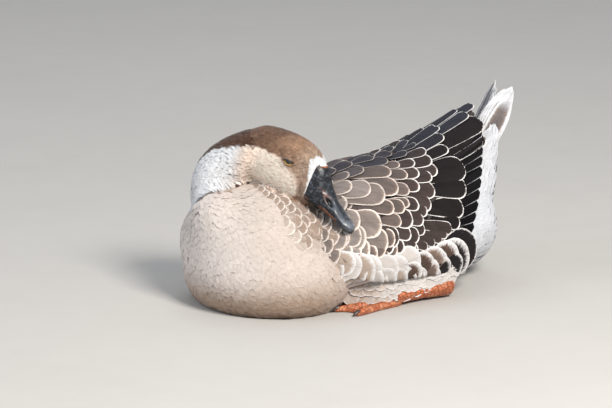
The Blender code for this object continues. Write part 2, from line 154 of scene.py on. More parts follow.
eye_at = {side: sum(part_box("eye_" + side), Vector()) / 2 for side in ("left", "right")}
between_eyes = (eye_at["left"] + eye_at["right"]) / 2
leftward = (eye_at["left"] - eye_at["right"]).normalized()
bill_points = np.array([v.co for v in frame["nodes"]["bill_upper"].data.vertices])
reach = np.linalg.norm(bill_points - between_eyes, axis=1)
bill_tip = Vector(np.unique(bill_points[reach > reach.max() - 0.0016].round(5), axis=0).mean(axis=0))
forward = Matrix.Rotation(-BILL_DROOP, 3, leftward) @ (bill_tip - between_eyes).normalized()
crownward = forward.cross(leftward)
head_origin = between_eyes + forward * EYE_BACK - crownward * EYE_UP
HEAD_AXES = np.array([forward, leftward, crownward])
ZERO = np.array([head_origin.x + HEAD_AHEAD, 0.0, 0.0])


def in_head(points):
    """World points in the head's frame."""
    return (np.asarray(points) - np.array(head_origin)) @ HEAD_AXES.T


def from_head(points):
    return np.asarray(points) @ HEAD_AXES + np.array(head_origin)


def eye_axes(sign):
    """An eye's own axes in the world: out of the eye, along the slit and up across it."""
    aim = unit(np.array([EYE_AIM[0], sign * EYE_AIM[1], EYE_AIM[2]]))
    slit = np.array([math.cos(SLIT_TILT), 0, math.sin(SLIT_TILT)])
    slit = unit(slit - aim * (slit @ aim))
    upward = np.cross(aim, slit)
    upward = upward * np.sign(upward[2])
    return aim @ HEAD_AXES, slit @ HEAD_AXES, upward @ HEAD_AXES


print("forward:", [round(v, 3) for v in forward], "bill base:", [round(v, 4) for v in head_origin])
print("the bird's own zero at x =", round(float(ZERO[0]), 4))

# %% [markdown]
# ## Stage, camera and light
# The bird rests on a plain pale floor. A large soft lamp stands high behind the camera's right shoulder, as
# low sun would, and a wide cool lamp on the left keeps the shaded side open. A weaker lamp behind the bird
# draws its back off the floor.

# %% Build the stage
AIM = np.array([-0.0237, 0.0407, 0.0919])  # where the camera looks, from the bird's own zero
CAMERA_AWAY, CAMERA_AZIMUTH, CAMERA_ELEVATION = 4.5, math.radians(-33), math.radians(13)
FRAME_WIDE = 0.612 * 1.15  # metres across the picture at the bird


def look_from(azimuth, elevation):
    """The unit vector from the bird to an eye at that bearing."""
    flat = math.cos(elevation)
    return Vector((math.sin(azimuth) * flat, -math.cos(azimuth) * flat, math.sin(elevation)))


def add_lamp(name, azimuth, elevation, away, size, power, colour):
    """A square lamp that looks at the middle of the bird."""
    lamp = bpy.data.lights.new(name, "AREA")
    lamp.size, lamp.energy, lamp.color = size, power, colour
    holder = bpy.data.objects.new(name, lamp)
    back = look_from(math.radians(azimuth), math.radians(elevation))
    holder.location = Vector(ZERO) + Vector((0, 0, 0.08)) + back * away
    holder.rotation_euler = (-back).to_track_quat("-Z", "Y").to_euler()
    bpy.context.scene.collection.objects.link(holder)


camera = bpy.data.objects.new("camera", bpy.data.cameras.new("camera"))
bpy.context.scene.collection.objects.link(camera)
back = look_from(CAMERA_AZIMUTH, CAMERA_ELEVATION)
camera.location = Vector(ZERO + AIM) + back * CAMERA_AWAY
camera.rotation_euler = (-back).to_track_quat("-Z", "Y").to_euler()
camera.data.sensor_width = 36
camera.data.lens = 36 * CAMERA_AWAY / FRAME_WIDE
camera.data.clip_end = 60
bpy.context.scene.camera = camera

# Name, bearing and height in degrees, metres away, metres wide, watts, colour.
LAMPS = (
    ("key lamp", -4, 40, 2.6, 0.8, 84, (1.0, 0.955, 0.89)),
    ("fill lamp", -105, 30, 2.8, 2.2, 26, (0.86, 0.92, 1.0)),
    ("back lamp", 150, 55, 3.0, 1.6, 16, (0.95, 0.97, 1.0)),
)
for lamp_values in LAMPS:
    add_lamp(*lamp_values)
world = bpy.data.worlds.new("studio air")
world.use_nodes = True
world.node_tree.nodes["Background"].inputs["Color"].default_value = (0.86, 0.90, 0.96, 1)
world.node_tree.nodes["Background"].inputs["Strength"].default_value = 0.44
bpy.context.scene.world = world
bpy.context.scene.view_settings.view_transform = "Standard"

FLOOR_SIDE, FLOOR_FRONT, FLOOR_BACK, FLOOR_DROP = 9, -9, 14, 0.0004
floor_corners = [(-FLOOR_SIDE, FLOOR_FRONT, 0), (FLOOR_SIDE, FLOOR_FRONT, 0),
                 (FLOOR_SIDE, FLOOR_BACK, 0), (-FLOOR_SIDE, FLOOR_BACK, 0)]
floor_mesh = bpy.data.meshes.new("floor")
floor_mesh.from_pydata(floor_corners, [], [(0, 1, 2, 3)])
floor = bpy.data.objects.new("floor", floor_mesh)
floor.location.z = -FLOOR_DROP
bpy.context.scene.collection.objects.link(floor)
print("camera lens in mm:", round(camera.data.lens, 1))

# %% [markdown]
# ## One form for the whole bird
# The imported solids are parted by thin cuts. A voxel remesh closes the cuts and gives one even surface,
# which stands for the outer ends of the feathers. It is the guide for all small feathers, and the skin is
# the same mesh drawn in by the depth of the coat, so the two match face for face.

# %% Join the flesh and read the form
FLESH = ("trunk", "breast", "neck_lower", "neck_upper", "head", "wing_left", "wing_right")
FORM_VOXEL, FORM_ROUNDS = 0.0024, 7  # the size of a face of the form, and how often it is smoothed


def link(name, mesh):
    piece = bpy.data.objects.new(name, mesh)
    bpy.context.scene.collection.objects.link(piece)
    return piece


def settle(piece):
    """Turns the piece's modifiers into plain mesh."""
    graph = bpy.context.evaluated_depsgraph_get()
    mesh = bpy.data.meshes.new_from_object(piece.evaluated_get(graph))
    piece.modifiers.clear()
    piece.data = mesh


def remeshed(name, nodes, voxel, rounds):
    """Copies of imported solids, joined into one even and rounded mesh."""
    shape = bmesh.new()
    for node in nodes:
        shape.from_mesh(frame["nodes"][node].data)
    bmesh.ops.remove_doubles(shape, verts=shape.verts, dist=1e-6)
    mesh = bpy.data.meshes.new(name)
    shape.to_mesh(mesh)
    shape.free()
    piece = link(name, mesh)
    even = piece.modifiers.new("one surface", "REMESH")
    even.mode = "VOXEL"
    even.voxel_size = voxel
    if rounds:
        soft = piece.modifiers.new("round", "SMOOTH")
        soft.iterations = rounds
    settle(piece)
    return piece


def rows_of(mesh, domain, name, width):
    values = np.empty(len(domain) * width, np.float32)
    domain.foreach_get(name, values)
    return values.reshape(-1, width).astype(float)


skin = remeshed("skin", FLESH + ("eye_left", "eye_right"), FORM_VOXEL, FORM_ROUNDS)
form_points = rows_of(skin.data, skin.data.vertices, "co", 3)
form_normals = unit(rows_of(skin.data, skin.data.vertices, "normal", 3))
quads = [tuple(p.vertices) for p in skin.data.polygons]
form_tree = BVHTree.FromPolygons(form_points.tolist(), quads)
corners = np.array([q if len(q) == 4 else (*q, q[2]) for q in quads])
print("form:", len(form_points), "points and", len(corners), "faces")

# %% [markdown]
# ## Which part is where
# Markings and the lie of the feathers change from part to part. Each point of the form takes the part whose
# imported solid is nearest. The wing also has its own map, a share of the way back and an angle down from the
# ridge of the back, because its feathers stand in rows.

# %% Parts of the form, and the map of the wing
HEAD, NECK, BREAST, TRUNK, WING = range(5)
PART_OF = {"head": HEAD, "neck_lower": NECK, "neck_upper": NECK, "breast": BREAST, "trunk": TRUNK,
           "wing_left": WING, "wing_right": WING, "eye_left": HEAD, "eye_right": HEAD}
# The wing's sections as built: share of the way back, half width, centre height, rise, pitch of the roof.
WING_FORM = (
    (0.00, 0.082, 0.062, 0.034, 1.00),
    (0.12, 0.103, 0.056, 0.064, 1.00),
    (0.28, 0.114, 0.050, 0.085, 1.00),
    (0.45, 0.118, 0.048, 0.097, 1.03),
    (0.65, 0.117, 0.046, 0.104, 1.10),
    (0.82, 0.114, 0.044, 0.124, 1.22),
    (1.00, 0.108, 0.040, 0.154, 1.30),
)
WING_FRONT, WING_REAR, WING_REAR_HEIGHT = -0.096, 0.102, 0.053
WING_LEAN, WING_SWEEP = 0.456, 0.63
WING_FINE = 241  # rows read from the sections


def tree_of(node):
    mesh = frame["nodes"][node].data
    return BVHTree.FromPolygons([v.co for v in mesh.vertices], [tuple(p.vertices) for p in mesh.polygons])


def wing_rear(height):
    up = height - WING_REAR_HEIGHT
    return WING_REAR + WING_LEAN * up + WING_SWEEP * up * np.abs(up)


def wing_place(share, angle):
    """Places on the left wing's cover for arrays of shares and of angles in degrees."""
    rows = through(WING_FORM, WING_FINE)
    straight_on = rows[-1] + (rows[-1] - rows[-13]) * 3  # past its rear edge the wing keeps its last slope
    rows = np.vstack([rows, straight_on])
    half, centre, rise, pitch = (np.interp(share, rows[:, 0], rows[:, k]) for k in range(1, 5))
    across, over = np.sin(np.radians(angle)), np.cos(np.radians(angle))
    y = -half * np.sign(across) * np.abs(across) ** pitch
    z = centre + rise * np.sign(over) * np.abs(over) ** pitch
    x = WING_FRONT + share * (wing_rear(z) - WING_FRONT)
    return np.stack([x, y, z], axis=-1) + ZERO


def wing_share(points):
    rear = wing_rear(points[:, 2])
    return (points[:, 0] - ZERO[0] - WING_FRONT) / (rear - WING_FRONT)


FAR = 9.0  # farther than anything on the bird
nearest = np.full(len(form_points), FAR)
part = np.zeros(len(form_points), int)
for node, number in PART_OF.items():
    tree = tree_of(node)
    away = np.array([tree.find_nearest(p)[3] for p in form_points.tolist()])
    part[away < nearest] = number
    nearest = np.minimum(nearest, away)
WING_SHARES, WING_ANGLES = np.linspace(-0.05, 1.2, 84), np.linspace(-16, 100, 70)


def grid_faces(sheet):
    """The faces of a sheet of points, as rows of four point numbers."""
    cells = np.arange(sheet[..., 0].size).reshape(sheet.shape[:2])
    return np.stack([cells[:-1, :-1], cells[:-1, 1:], cells[1:, 1:], cells[1:, :-1]], -1).reshape(-1, 4)


sheet = wing_place(*np.meshgrid(WING_SHARES, WING_ANGLES, indexing="ij"))
sheet_faces = grid_faces(sheet)
wing_tree = BVHTree.FromPolygons(sheet.reshape(-1, 3).tolist(), sheet_faces.tolist())
probe = wing_place(np.array([0.3, 0.5, 0.8]), np.array([40.0, 60.0, 50.0]))
solids = [tree_of("wing_left"), tree_of("flight_feathers_left")]
print("wing map off the packed wing by mm:",
      [round(1000 * min(t.find_nearest(p)[3] for t in solids), 2) for p in probe.tolist()])

# %% [markdown]
# ## The lie of the feathers
# Feathers point away from the bill: back over the head, down the neck, outwards from the neck's root over
# the breast, back along the flanks and up under the tail. A direction is worked out for any place of the
# form.

# %% Directions over the body
# The middle line of the neck from its root in the breast to the back of the head, from the bird's own zero.
NECK_LINE = ((-0.126, 0.020, 0.060), (-0.139, 0.034, 0.096), (-0.141, 0.044, 0.126), (-0.134, 0.041, 0.146),
             (-0.120, 0.027, 0.160), (-0.095, -0.009, 0.165), (-0.088, -0.024, 0.157))
NECK_BEND_CENTRE = np.array([-0.107, 0.004, 0.115])
NECK_ROOT = np.array([-0.142, 0.030, 0.118])
neck_line = through(NECK_LINE, 61) + ZERO
neck_tangent = unit(np.gradient(neck_line, axis=0))


def neck_row(points):
    """The number of the neck line's nearest point, from 0 at the breast to 60 in the head."""
    away = np.linalg.norm(points[:, None, :] - neck_line[None, :, :], axis=2)
    return away.argmin(axis=1)


def flow(points, normals, number):
    """The way a feather points at each place, along the surface."""
    own = points - ZERO
    head_way = -HEAD_AXES[0] - 0.18 * HEAD_AXES[2]
    neck_way = -neck_tangent[neck_row(points)]
    breast_way = unit(own - NECK_ROOT) + np.array([0.10, 0.0, -0.25])
    side_way = np.array([0.62, 0.0, -0.70]) + np.zeros_like(own)
    back_way = np.array([1.0, 0.0, 0.05]) + np.zeros_like(own)
    vent_way = np.array([0.45, 0.0, 0.90]) + np.zeros_like(own)
    trunk_way = mix(breast_way, side_way, ramp(own[:, 0], -0.110, -0.060))
    trunk_way = mix(trunk_way, back_way, ramp(own[:, 0], -0.045, 0.030))
    trunk_way = mix(trunk_way, vent_way, ramp(own[:, 0], 0.120, 0.170))
    nape = ramp(in_head(points)[:, 0], -0.110, -0.075)
    ways = np.select(
        [(number == HEAD)[:, None], (number == NECK)[:, None], (number == BREAST)[:, None]],
        [head_way + np.zeros_like(own), mix(neck_way, head_way, nape), breast_way],
        trunk_way,
    )
    return flat_on(ways, normals)


print("feathers on the crown point", np.round(-HEAD_AXES[0], 2))

# %% [markdown]
# ## The markings
# The goose has a brown cap and nape, a cream cheek, a white band behind the bill, a white neck, a tan
# breast, buff flanks and a white vent. The throat under the head and the fold where the head lies on the
# breast are darkened with painted shade. One function gives these paints for any place, and both the skin
# and the feathers ask it, so they always agree. It also gives each feather's edge colour.

# %% Paint for any place
CROWN, CROWN_DARK, NAPE = paint(152, 120, 97), paint(104, 78, 62), paint(78, 54, 42)
FOREHEAD = paint(172, 148, 129)
# The middle paint of the next line is painted shade, for the throat as it turns under the head.
CHEEK, CHIN_SHADE, BAND = paint(252, 230, 214), paint(150, 116, 92), paint(236, 237, 240)
NECK_CREAM, NECK_WHITE = paint(212, 193, 177), paint(220, 221, 224)
BREAST_MID, BREAST_LOW, BREAST_SIDE = paint(194, 182, 174), paint(146, 118, 95), paint(212, 203, 197)
# The first paint of the next line is painted shade, for the fold where the head and neck lie on the breast.
FOLD_SHADE, FLANK, FLANK_WHITE = paint(160, 126, 102), paint(180, 164, 153), paint(190, 184, 182)
WHORL, WHORL_EDGE = paint(152, 134, 122), paint(216, 206, 198)
BACK_GREY, VENT_WHITE = paint(104, 95, 92), paint(206, 209, 215)
# The lower edge of the brown cap on the side of the head, in the head's frame: (x, z).
CAP_EDGE = ((-0.125, -0.050), (-0.115, -0.038), (-0.100, -0.021), (-0.083, -0.010), (-0.067, -0.002),
            (-0.049, 0.0030), (-0.038, 0.0058), (-0.0315, 0.0046), (-0.022, 0.0018), (-0.0135, -0.0010),
            (-0.0080, -0.0056), (-0.0040, -0.0120), (-0.0012, -0.0185), (0.0004, -0.024))
# The upper edge of the painted shade on the throat, in the head's frame: (x, z).
CHIN_SHADE_EDGE = ((-0.060, -0.064), (-0.048, -0.045), (-0.038, -0.038), (-0.025, -0.0345), (-0.0125, -0.0310),
             (-0.005, -0.0262), (0.0005, -0.0190))
BASE_TOP, BASE_SLANT = 0.0225, 0.24  # the feather edge at the bill: its top, and how far it leans forward
head_and_neck = [tree_of(node) for node in ("head", "neck_upper", "neck_lower")]


def behind_bill(h):
    """How far behind the feather edge at the bill each point of the head is."""
    wedge = 0.0045 * np.exp(-(h[:, 1] / 0.0075) ** 2) * ramp(h[:, 2], 0.010, 0.022)
    return BASE_SLANT * (BASE_TOP - h[:, 2]) + wedge - h[:, 0]


def cream_of(h):
    """The pale side of the head, which turns a little darker towards the neck."""
    return mix(CHEEK, NECK_CREAM, ramp(-h[:, 0], 0.055, 0.100))


def head_paint(points):
    h = in_head(points)
    x, z = h[:, 0], h[:, 2]
    rough = mottle(points, 0.004, 3) * 0.0016 + mottle(points, 0.011, 4) * 0.0012
    fleck = 1 + 0.34 * mottle(points, 0.0024, 6)[:, None] + 0.12 * mottle(points, 0.008, 10)[:, None]
    soft = mix(0.0016, 0.0050, ramp(x, -0.034, -0.010))
    cap = ramp(z - np.interp(x, *np.transpose(CAP_EDGE)) + rough, -soft, soft)
    top = mix(NAPE, CROWN_DARK, ramp(x, -0.112, -0.088))
    top = mix(top, CROWN, ramp(x + mottle(points, 0.012, 7) * 0.010, -0.066, -0.026))
    top = mix(top, FOREHEAD, ramp(x, -0.030, -0.008)) * fleck
    # Painted shade: below that edge the throat darkens to brown as it turns under the head.
    chin_shade = 1 - ramp(z - np.interp(x, *np.transpose(CHIN_SHADE_EDGE)) + rough, -0.004, 0.0035)
    face = mix(cream_of(h), CHIN_SHADE, chin_shade)
    tone = mix(face, top, cap)
    width = mix(0.0026, 0.0078, ramp(z, 0.002, 0.021))
    band = 1 - ramp(behind_bill(h) + rough * 1.3, width - 0.0005, width + 0.0005)
    return mix(tone, BAND, band * ramp(z, -0.022, -0.016))


def neck_paint(points):
    h = in_head(points)
    row = neck_row(points)
    white = ramp(-(h[:, 0] + 0.067 + 0.44 * (h[:, 2] + 0.050)), -0.010, 0.012)
    tone = mix(cream_of(h), NECK_WHITE, white)
    line = neck_line[row]
    away = unit(points - line)
    tangent = neck_tangent[row]
    bend = flat_on(line - ZERO - NECK_BEND_CENTRE, tangent)
    turn = np.degrees(np.arccos(np.clip(np.sum(away * bend, axis=1), -1, 1)))
    half = np.interp(row, (0, 22, 29, 38, 48, 60), (0, 0, 24, 52, 66, 68))
    stripe = (1 - ramp(turn + mottle(points, 0.005, 5) * 7, half - 4, half + 4)) * ramp(half, 0, 12)
    brown = mix(NAPE, CROWN_DARK, ramp(row, 46, 58)) * (1 + 0.28 * mottle(points, 0.0030, 9)[:, None])
    return mix(tone, brown, stripe)


def body_paint(points):
    own = points - ZERO
    x, z = own[:, 0], own[:, 2]
    low = 1 - ramp(z, 0.012, 0.060)
    tone = mix(BREAST_MID, BREAST_LOW, low * 0.8)
    tone = mix(tone, BREAST_SIDE, ramp(-x, 0.150, 0.190) * (1 - low) * 0.8)
    near = np.array([min(t.find_nearest(p)[3] for t in head_and_neck) for p in points.tolist()])
    # Painted shade: the breast turns brown in the fold where the head and neck lie on it.
    fold_shade = (1 - ramp(near, 0.003, 0.016)) * ramp(z, 0.10, 0.12)
    tone = mix(tone, FOLD_SHADE, fold_shade * 0.75)
    tone = mix(tone, FLANK, ramp(x, -0.100, -0.060))
    tone = mix(tone, FLANK_WHITE, ramp(x, -0.020, 0.030))
    tone = mix(tone, VENT_WHITE, ramp(x, 0.080, 0.120))
    return mix(tone, BACK_GREY, ramp(z, 0.108, 0.120) * ramp(x, -0.100, -0.080) * (1 - ramp(x, 0.10, 0.13)))


def whorl_share(points):
    """1 over the small round feathers before the wing, where the bill points."""
    own = points - ZERO
    x, z = own[:, 0], own[:, 2]
    front = ramp(x + mottle(points, 0.02, 8) * 0.005, -0.124, -0.108)
    return front * ramp(z, 0.074, 0.088) * (1 - ramp(x, -0.050, -0.040))


def coat_paint(points, number):
    """The tone and the edge colour of the coat at each place."""
    tone = np.select(
        [(number == HEAD)[:, None], (number == NECK)[:, None]],
        [head_paint(points), neck_paint(points)],
        body_paint(points),
    )
    edge = tone * 1.06
    whorl = whorl_share(points) * (number >= BREAST)
    tone, edge = mix(tone, WHORL, whorl), mix(edge, WHORL_EDGE, whorl)
    on_wing = (number == WING) * ramp(points[:, 2], 0.050, 0.062)
    tone = mix(tone, mix(WHORL, BACK_GREY, ramp(points[:, 2], 0.09, 0.12)), on_wing)
    edge = mix(edge, WHORL_EDGE, on_wing)
    return np.clip(tone, 0, 0.92), np.clip(edge, 0, 0.92)


skin_tone, _ = coat_paint(form_points, part)
print("mean paint of the coat:", np.round(skin_tone.mean(axis=0), 3))

# %% [markdown]
# ## Unwrap and draw in the skin
# The bake of the model needs a flat map of the skin. Each feather's own map is later a small patch at its
# root's place on this one. The map is made on the form, and then the points are drawn in by the depth of
# the coat, which is under a millimetre at the bill and seven on the body.

# %% Map and depth
BAKE_MAP, TUFT_PATCH = "OFBake", 0.003
SKIN_SHADE = 0.82  # the skin is darker than the feathers over it


def unwrap(piece, name, margin):
    piece.data.uv_layers.new(name=name)
    piece.data.uv_layers.active = piece.data.uv_layers[name]
    for other in bpy.context.selected_objects:
        other.select_set(False)
    piece.select_set(True)
    bpy.context.view_layer.objects.active = piece
    bpy.ops.object.mode_set(mode="EDIT")
    bpy.ops.mesh.select_all(action="SELECT")
    bpy.ops.uv.smart_project(angle_limit=math.radians(66), island_margin=margin)
    bpy.ops.object.mode_set(mode="OBJECT")
    piece.select_set(False)


def value_points(mesh, name, values):
    layer = mesh.attributes.new(name, "FLOAT", "POINT")
    layer.data.foreach_set("value", np.asarray(values, np.float32).ravel())


def colour_points(mesh, name, colours):
    layer = mesh.attributes.new(name, "FLOAT_COLOR", "POINT")
    rgba = np.ones((len(colours), 4), np.float32)
    rgba[:, :3] = colours
    layer.data.foreach_set("color", rgba.ravel())


unwrap(skin, BAKE_MAP, 0.002)
loop_map = rows_of(skin.data, skin.data.uv_layers[BAKE_MAP].data, "uv", 2)
starts = np.array([p.loop_start for p in skin.data.polygons])
h = in_head(form_points)
depth = np.select(
    [part == HEAD, part == NECK, part == WING],
    [mix(0.0007, 0.0016, ramp(behind_bill(h), 0.002, 0.016)),
     mix(0.0018, 0.0045, ramp(-h[:, 0], 0.080, 0.115)), 0.0060],
    0.0070,
)
skin.data.vertices.foreach_set("co", (form_points - form_normals * depth[:, None]).astype(np.float32).ravel())
skin.data.update()
skin.data.shade_smooth()
colour_points(skin.data, "Tone", skin_tone * SKIN_SHADE)
print("skin map spans", np.round(loop_map.min(axis=0), 3), np.round(loop_map.max(axis=0), 3))

# %% [markdown]
# ## What a feather is made of
# Every feather here is a blade: a small grid of faces from root to tip, narrow at the root, full in the
# middle and round at the tip. Each point remembers its own paint, its edge paint, how far it is from the
# blade's edge and how wide the pale edge is, so one material can draw a crisp fringe on any blade however
# coarse its grid is. Points of a ragged tip that would pass the blade's full length are left out, as worn.

# %% Blades into one mesh
FLOOR_GAP = 0.0003  # no feather comes closer to the floor


def blade_mesh(name, points, tone, edge, rim, fringe, vane, bake, worn_or_sheen=False):
    """Many blades as one mesh, and the numbers of the points that it uses.

    The arrays are (blades, rows, columns) with 3, 2 or no numbers at the end. Worn points are left out, and
    of a cell that lost only its second corner the other half stays.
    """
    count, rows, columns = points.shape[:3]
    base = np.arange(rows * columns).reshape(rows, columns)
    cell = np.stack([base[:-1, :-1], base[1:, :-1], base[1:, 1:], base[:-1, 1:]], -1).reshape(-1, 4)
    cells = (cell[None] + (np.arange(count) * rows * columns)[:, None, None]).reshape(-1, 4)
    lost = np.broadcast_to(worn_or_sheen, points.shape[:3]).reshape(-1)[cells]
    halves = cells[lost[:, 1] & ~lost[:, [0, 2, 3]].any(axis=1)][:, [0, 2, 3]]
    wholes = cells[~lost.any(axis=1)]
    corner = np.concatenate([wholes.ravel(), halves.ravel()])
    starts_at = np.concatenate([np.arange(0, wholes.size, 4), np.arange(wholes.size, len(corner), 3)])
    used, numbered = np.unique(corner, return_inverse=True)
    mesh = bpy.data.meshes.new(name)
    mesh.vertices.add(len(used))
    flat = points.reshape(-1, 3)[used]
    flat[:, 2] = np.maximum(flat[:, 2], FLOOR_GAP)
    mesh.vertices.foreach_set("co", flat.astype(np.float32).ravel())
    mesh.loops.add(len(corner))
    mesh.loops.foreach_set("vertex_index", numbered.astype(np.int32).ravel())
    mesh.polygons.add(len(starts_at))
    mesh.polygons.foreach_set("loop_start", starts_at.astype(np.int32))
    mesh.update(calc_edges=True)
    colour_points(mesh, "Tone", tone.reshape(-1, 3)[used])
    colour_points(mesh, "Edge", edge.reshape(-1, 3)[used])
    value_points(mesh, "Rim", rim.reshape(-1)[used])
    value_points(mesh, "Fringe", fringe.reshape(-1)[used])
    for label, values in ((BAKE_MAP, bake), ("Vane", vane)):
        layer = mesh.uv_layers.new(name=label)
        layer.data.foreach_set("uv", values.reshape(-1, 2)[corner].astype(np.float32).ravel())
    mesh.shade_smooth()
    piece = link(name, mesh)
    print(name, "has", count, "blades and", 2 * len(wholes) + len(halves), "triangles")
    return piece, used


def leaf(shares, widths):
    """The outline of a small feather: shares of its length, and its width at each."""
    return np.array(shares, float), np.array(widths, float)


# %% [markdown]
# ## Small feathers over the body
# Feathers of the body are scattered at random but never closer than a set gap, which is 1.4 mm on the face,
# 5 mm on the flanks and nearly 10 mm under the belly. Each lies from its root in the skin to its tip just
# over the form, so that every tip covers the roots of those behind it, the way shingles do.

# %% Scatter and lay tufts
SOFTNESS = 0.82  # how far a small feather takes its shading from the body under it
TRIES = 3.4  # places tried for each one that can be kept
RIM_SHARE = 0.15  # how much of its pale edge a small feather shows
PAINTED_AT = 0.7  # the share of its length where a feather of one tone asks for its paint
AROUND = [(i, j, k) for i in (-1, 0, 1) for j in (-1, 0, 1) for k in (-1, 0, 1)]
SHORT_LEAF = leaf((0, 0.40, 0.78, 1), (0.55, 1.0, 0.80, 0.22))
LONG_LEAF = leaf((0, 0.28, 0.54, 0.76, 0.92, 1), (0.40, 0.85, 1.0, 0.92, 0.62, 0.20))
corner_points = form_points[corners]
face_area = 0.5 * np.linalg.norm(
    np.cross(corner_points[:, 2] - corner_points[:, 0], corner_points[:, 3] - corner_points[:, 1]), axis=1)
face_centre = corner_points.mean(axis=1)
face_part = part[corners[:, 0]]
face_up = unit(form_normals[corners].mean(axis=1))
face_map = loop_map[starts[:, None] + np.arange(4)]


def scatter(faces, gap):
    """Faces and weights of places on the chosen faces, at least one gap apart."""
    pick = np.repeat(faces, TAKE.poisson(face_area[faces] * TRIES / gap**2))
    pick = pick[TAKE.permutation(len(pick))]
    s, t = TAKE.random(len(pick)), TAKE.random(len(pick))
    weights = np.stack([(1 - s) * (1 - t), s * (1 - t), s * t, (1 - s) * t], axis=1)
    places = np.einsum("nk,nkc->nc", weights, corner_points[pick])
    taken, kept = {}, []
    for number, (x, y, z) in enumerate(places.tolist()):
        key = (int(x // gap), int(y // gap), int(z // gap))
        crowd = (o for i, j, k in AROUND for o in taken.get((key[0] + i, key[1] + j, key[2] + k), ()))
        if all((x - a) ** 2 + (y - b) ** 2 + (z - c) ** 2 >= gap * gap for a, b, c in crowd):
            taken.setdefault(key, []).append((x, y, z))
            kept.append(number)
    return pick[kept], weights[kept], places[kept]


def drop_on(tree, places):
    """The nearest points of a surface, and the way out of it there."""
    found = [tree.find_nearest(p)[:2] for p in places.reshape(-1, 3).tolist()]
    spots = np.array([f[0] for f in found]).reshape(places.shape)
    return spots, np.array([f[1] for f in found]).reshape(places.shape)


def tufts(name, faces, gap, length, width, shape, columns, sink, lift, fringe, wander=7, shade=0.80,
          ragged=0.03, small=None, rows_painted=False, uneven=0.03, cup=0.08):
    """One piece of small feathers over the chosen faces of the form.

    The gap, length and width are of one feather, its shape is a leaf, and it sinks at the root and lifts at
    the tip. Wander turns it at random by so many degrees, shade darkens its root, and small shrinks it.
    """
    pick, weights, roots = scatter(faces, gap)
    normals = unit(np.einsum("nk,nkc->nc", weights, form_normals[corners[pick]]))
    ways = flow(roots, normals, face_part[pick])
    turn = np.radians(TAKE.normal(0, wander, len(pick)))[:, None]
    ways = ways * np.cos(turn) + np.cross(normals, ways) * np.sin(turn)
    long = length * TAKE.normal(1, 0.10, len(pick)).clip(0.7, 1.3)
    wide = width * TAKE.normal(1, 0.08, len(pick)).clip(0.75, 1.25)
    if small is not None:
        long, wide = long * small(roots), wide * small(roots) ** 0.5
    middle, middle_up = drop_on(form_tree, roots + ways * long[:, None] / 2)
    tip, tip_up = drop_on(form_tree, roots + ways * long[:, None])
    share, spread = shape
    t = share[None, :, None, None]
    across = np.linspace(-1, 1, columns)[None, None, :, None]
    jitter = TAKE.normal(0, ragged, (len(pick), len(share), columns, 1)) * t**3
    t = t + jitter
    curve = ((1 - t) * (1 - 2 * t) * roots[:, None, None] + 4 * t * (1 - t) * middle[:, None, None]
             + t * (2 * t - 1) * tip[:, None, None])
    up = unit(mix(normals[:, None, None], tip_up[:, None, None], t[..., 0]) + middle_up[:, None, None] * 0.5)
    side = unit(np.cross(up, (tip - roots)[:, None, None]))
    half = spread[None, :, None, None] * wide[:, None, None, None] / 2
    worn_or_sheen = t[..., 0] > 1  # a ragged tip ends where its barbs would pass the full length
    height = mix(-sink, lift, 1 - np.where(worn_or_sheen, 0, 1 - t[..., 0]) ** 2.2)[..., None] - cup * half * across**2
    height = height + TAKE.normal(0, 0.16, (len(pick), 1, 1, 1)) * lift * t
    points = curve + side * half * across + up * height
    if rows_painted:
        painted = [coat_paint(roots + (tip - roots) * part_way, face_part[pick]) for part_way in share]
        tone, edge = (np.stack([row[k] for row in painted], 1)[:, :, None] for k in (0, 1))
    else:
        painted = coat_paint(roots + (tip - roots) * PAINTED_AT, face_part[pick])
        tone, edge = (paints[:, None, None] for paints in painted)
    vary = TAKE.normal(1, uneven, (len(pick), 1, 1, 1)).clip(0.6, 1.4)
    shading = mix(shade, 1.0, t[..., 0] ** 0.8)[..., None] * vary
    blank = np.ones(points.shape)
    along = share[None, :, None, None] * long[:, None, None, None]
    to_tip = (1 - share)[None, :, None, None] * long[:, None, None, None]
    rim = np.minimum((1 - np.abs(across)) * half, to_tip)
    flat = np.concatenate([across * half, along + np.zeros_like(half * across)], axis=-1) * 100
    centre = np.einsum("nk,nkc->nc", weights, face_map[pick])[:, None, None]
    patch = np.concatenate([across * 0.5 + np.zeros_like(t), share[None, :, None, None] - 0.5
                            + np.zeros_like(t)], axis=-1)
    bake = np.clip(centre + patch * TUFT_PATCH, 0, 1)
    piece, used = blade_mesh(name, points, np.clip(tone * shading * blank, 0, 0.95),
                             np.clip(edge * vary * blank, 0, 0.95), rim[..., 0] / MM,
                             np.full(points.shape[:3], RIM_SHARE * fringe / MM), flat, bake, worn_or_sheen)
    own = unit(rows_of(piece.data, piece.data.vertices, "normal", 3))
    soft = unit(mix(own, (up * blank).reshape(-1, 3)[used], np.full(len(used), SOFTNESS)))
    piece.data.normals_split_custom_set_from_vertices(soft.tolist())
    return piece


def near_bill(points):
    """The feathers of the face grow shorter towards the bill and round the eyes."""
    away = np.min([np.linalg.norm(points - np.array(eye_at[side]), axis=1) for side in eye_at], axis=0)
    shorter = ramp(behind_bill(in_head(points)), 0.002, 0.020) * ramp(away, 0.010, 0.016)
    return 0.48 + 0.52 * shorter


def near_nape(points):
    """The feathers of the neck grow longer away from the head."""
    return mix(0.62, 1.0, ramp(-in_head(points)[:, 0], 0.100, 0.140))


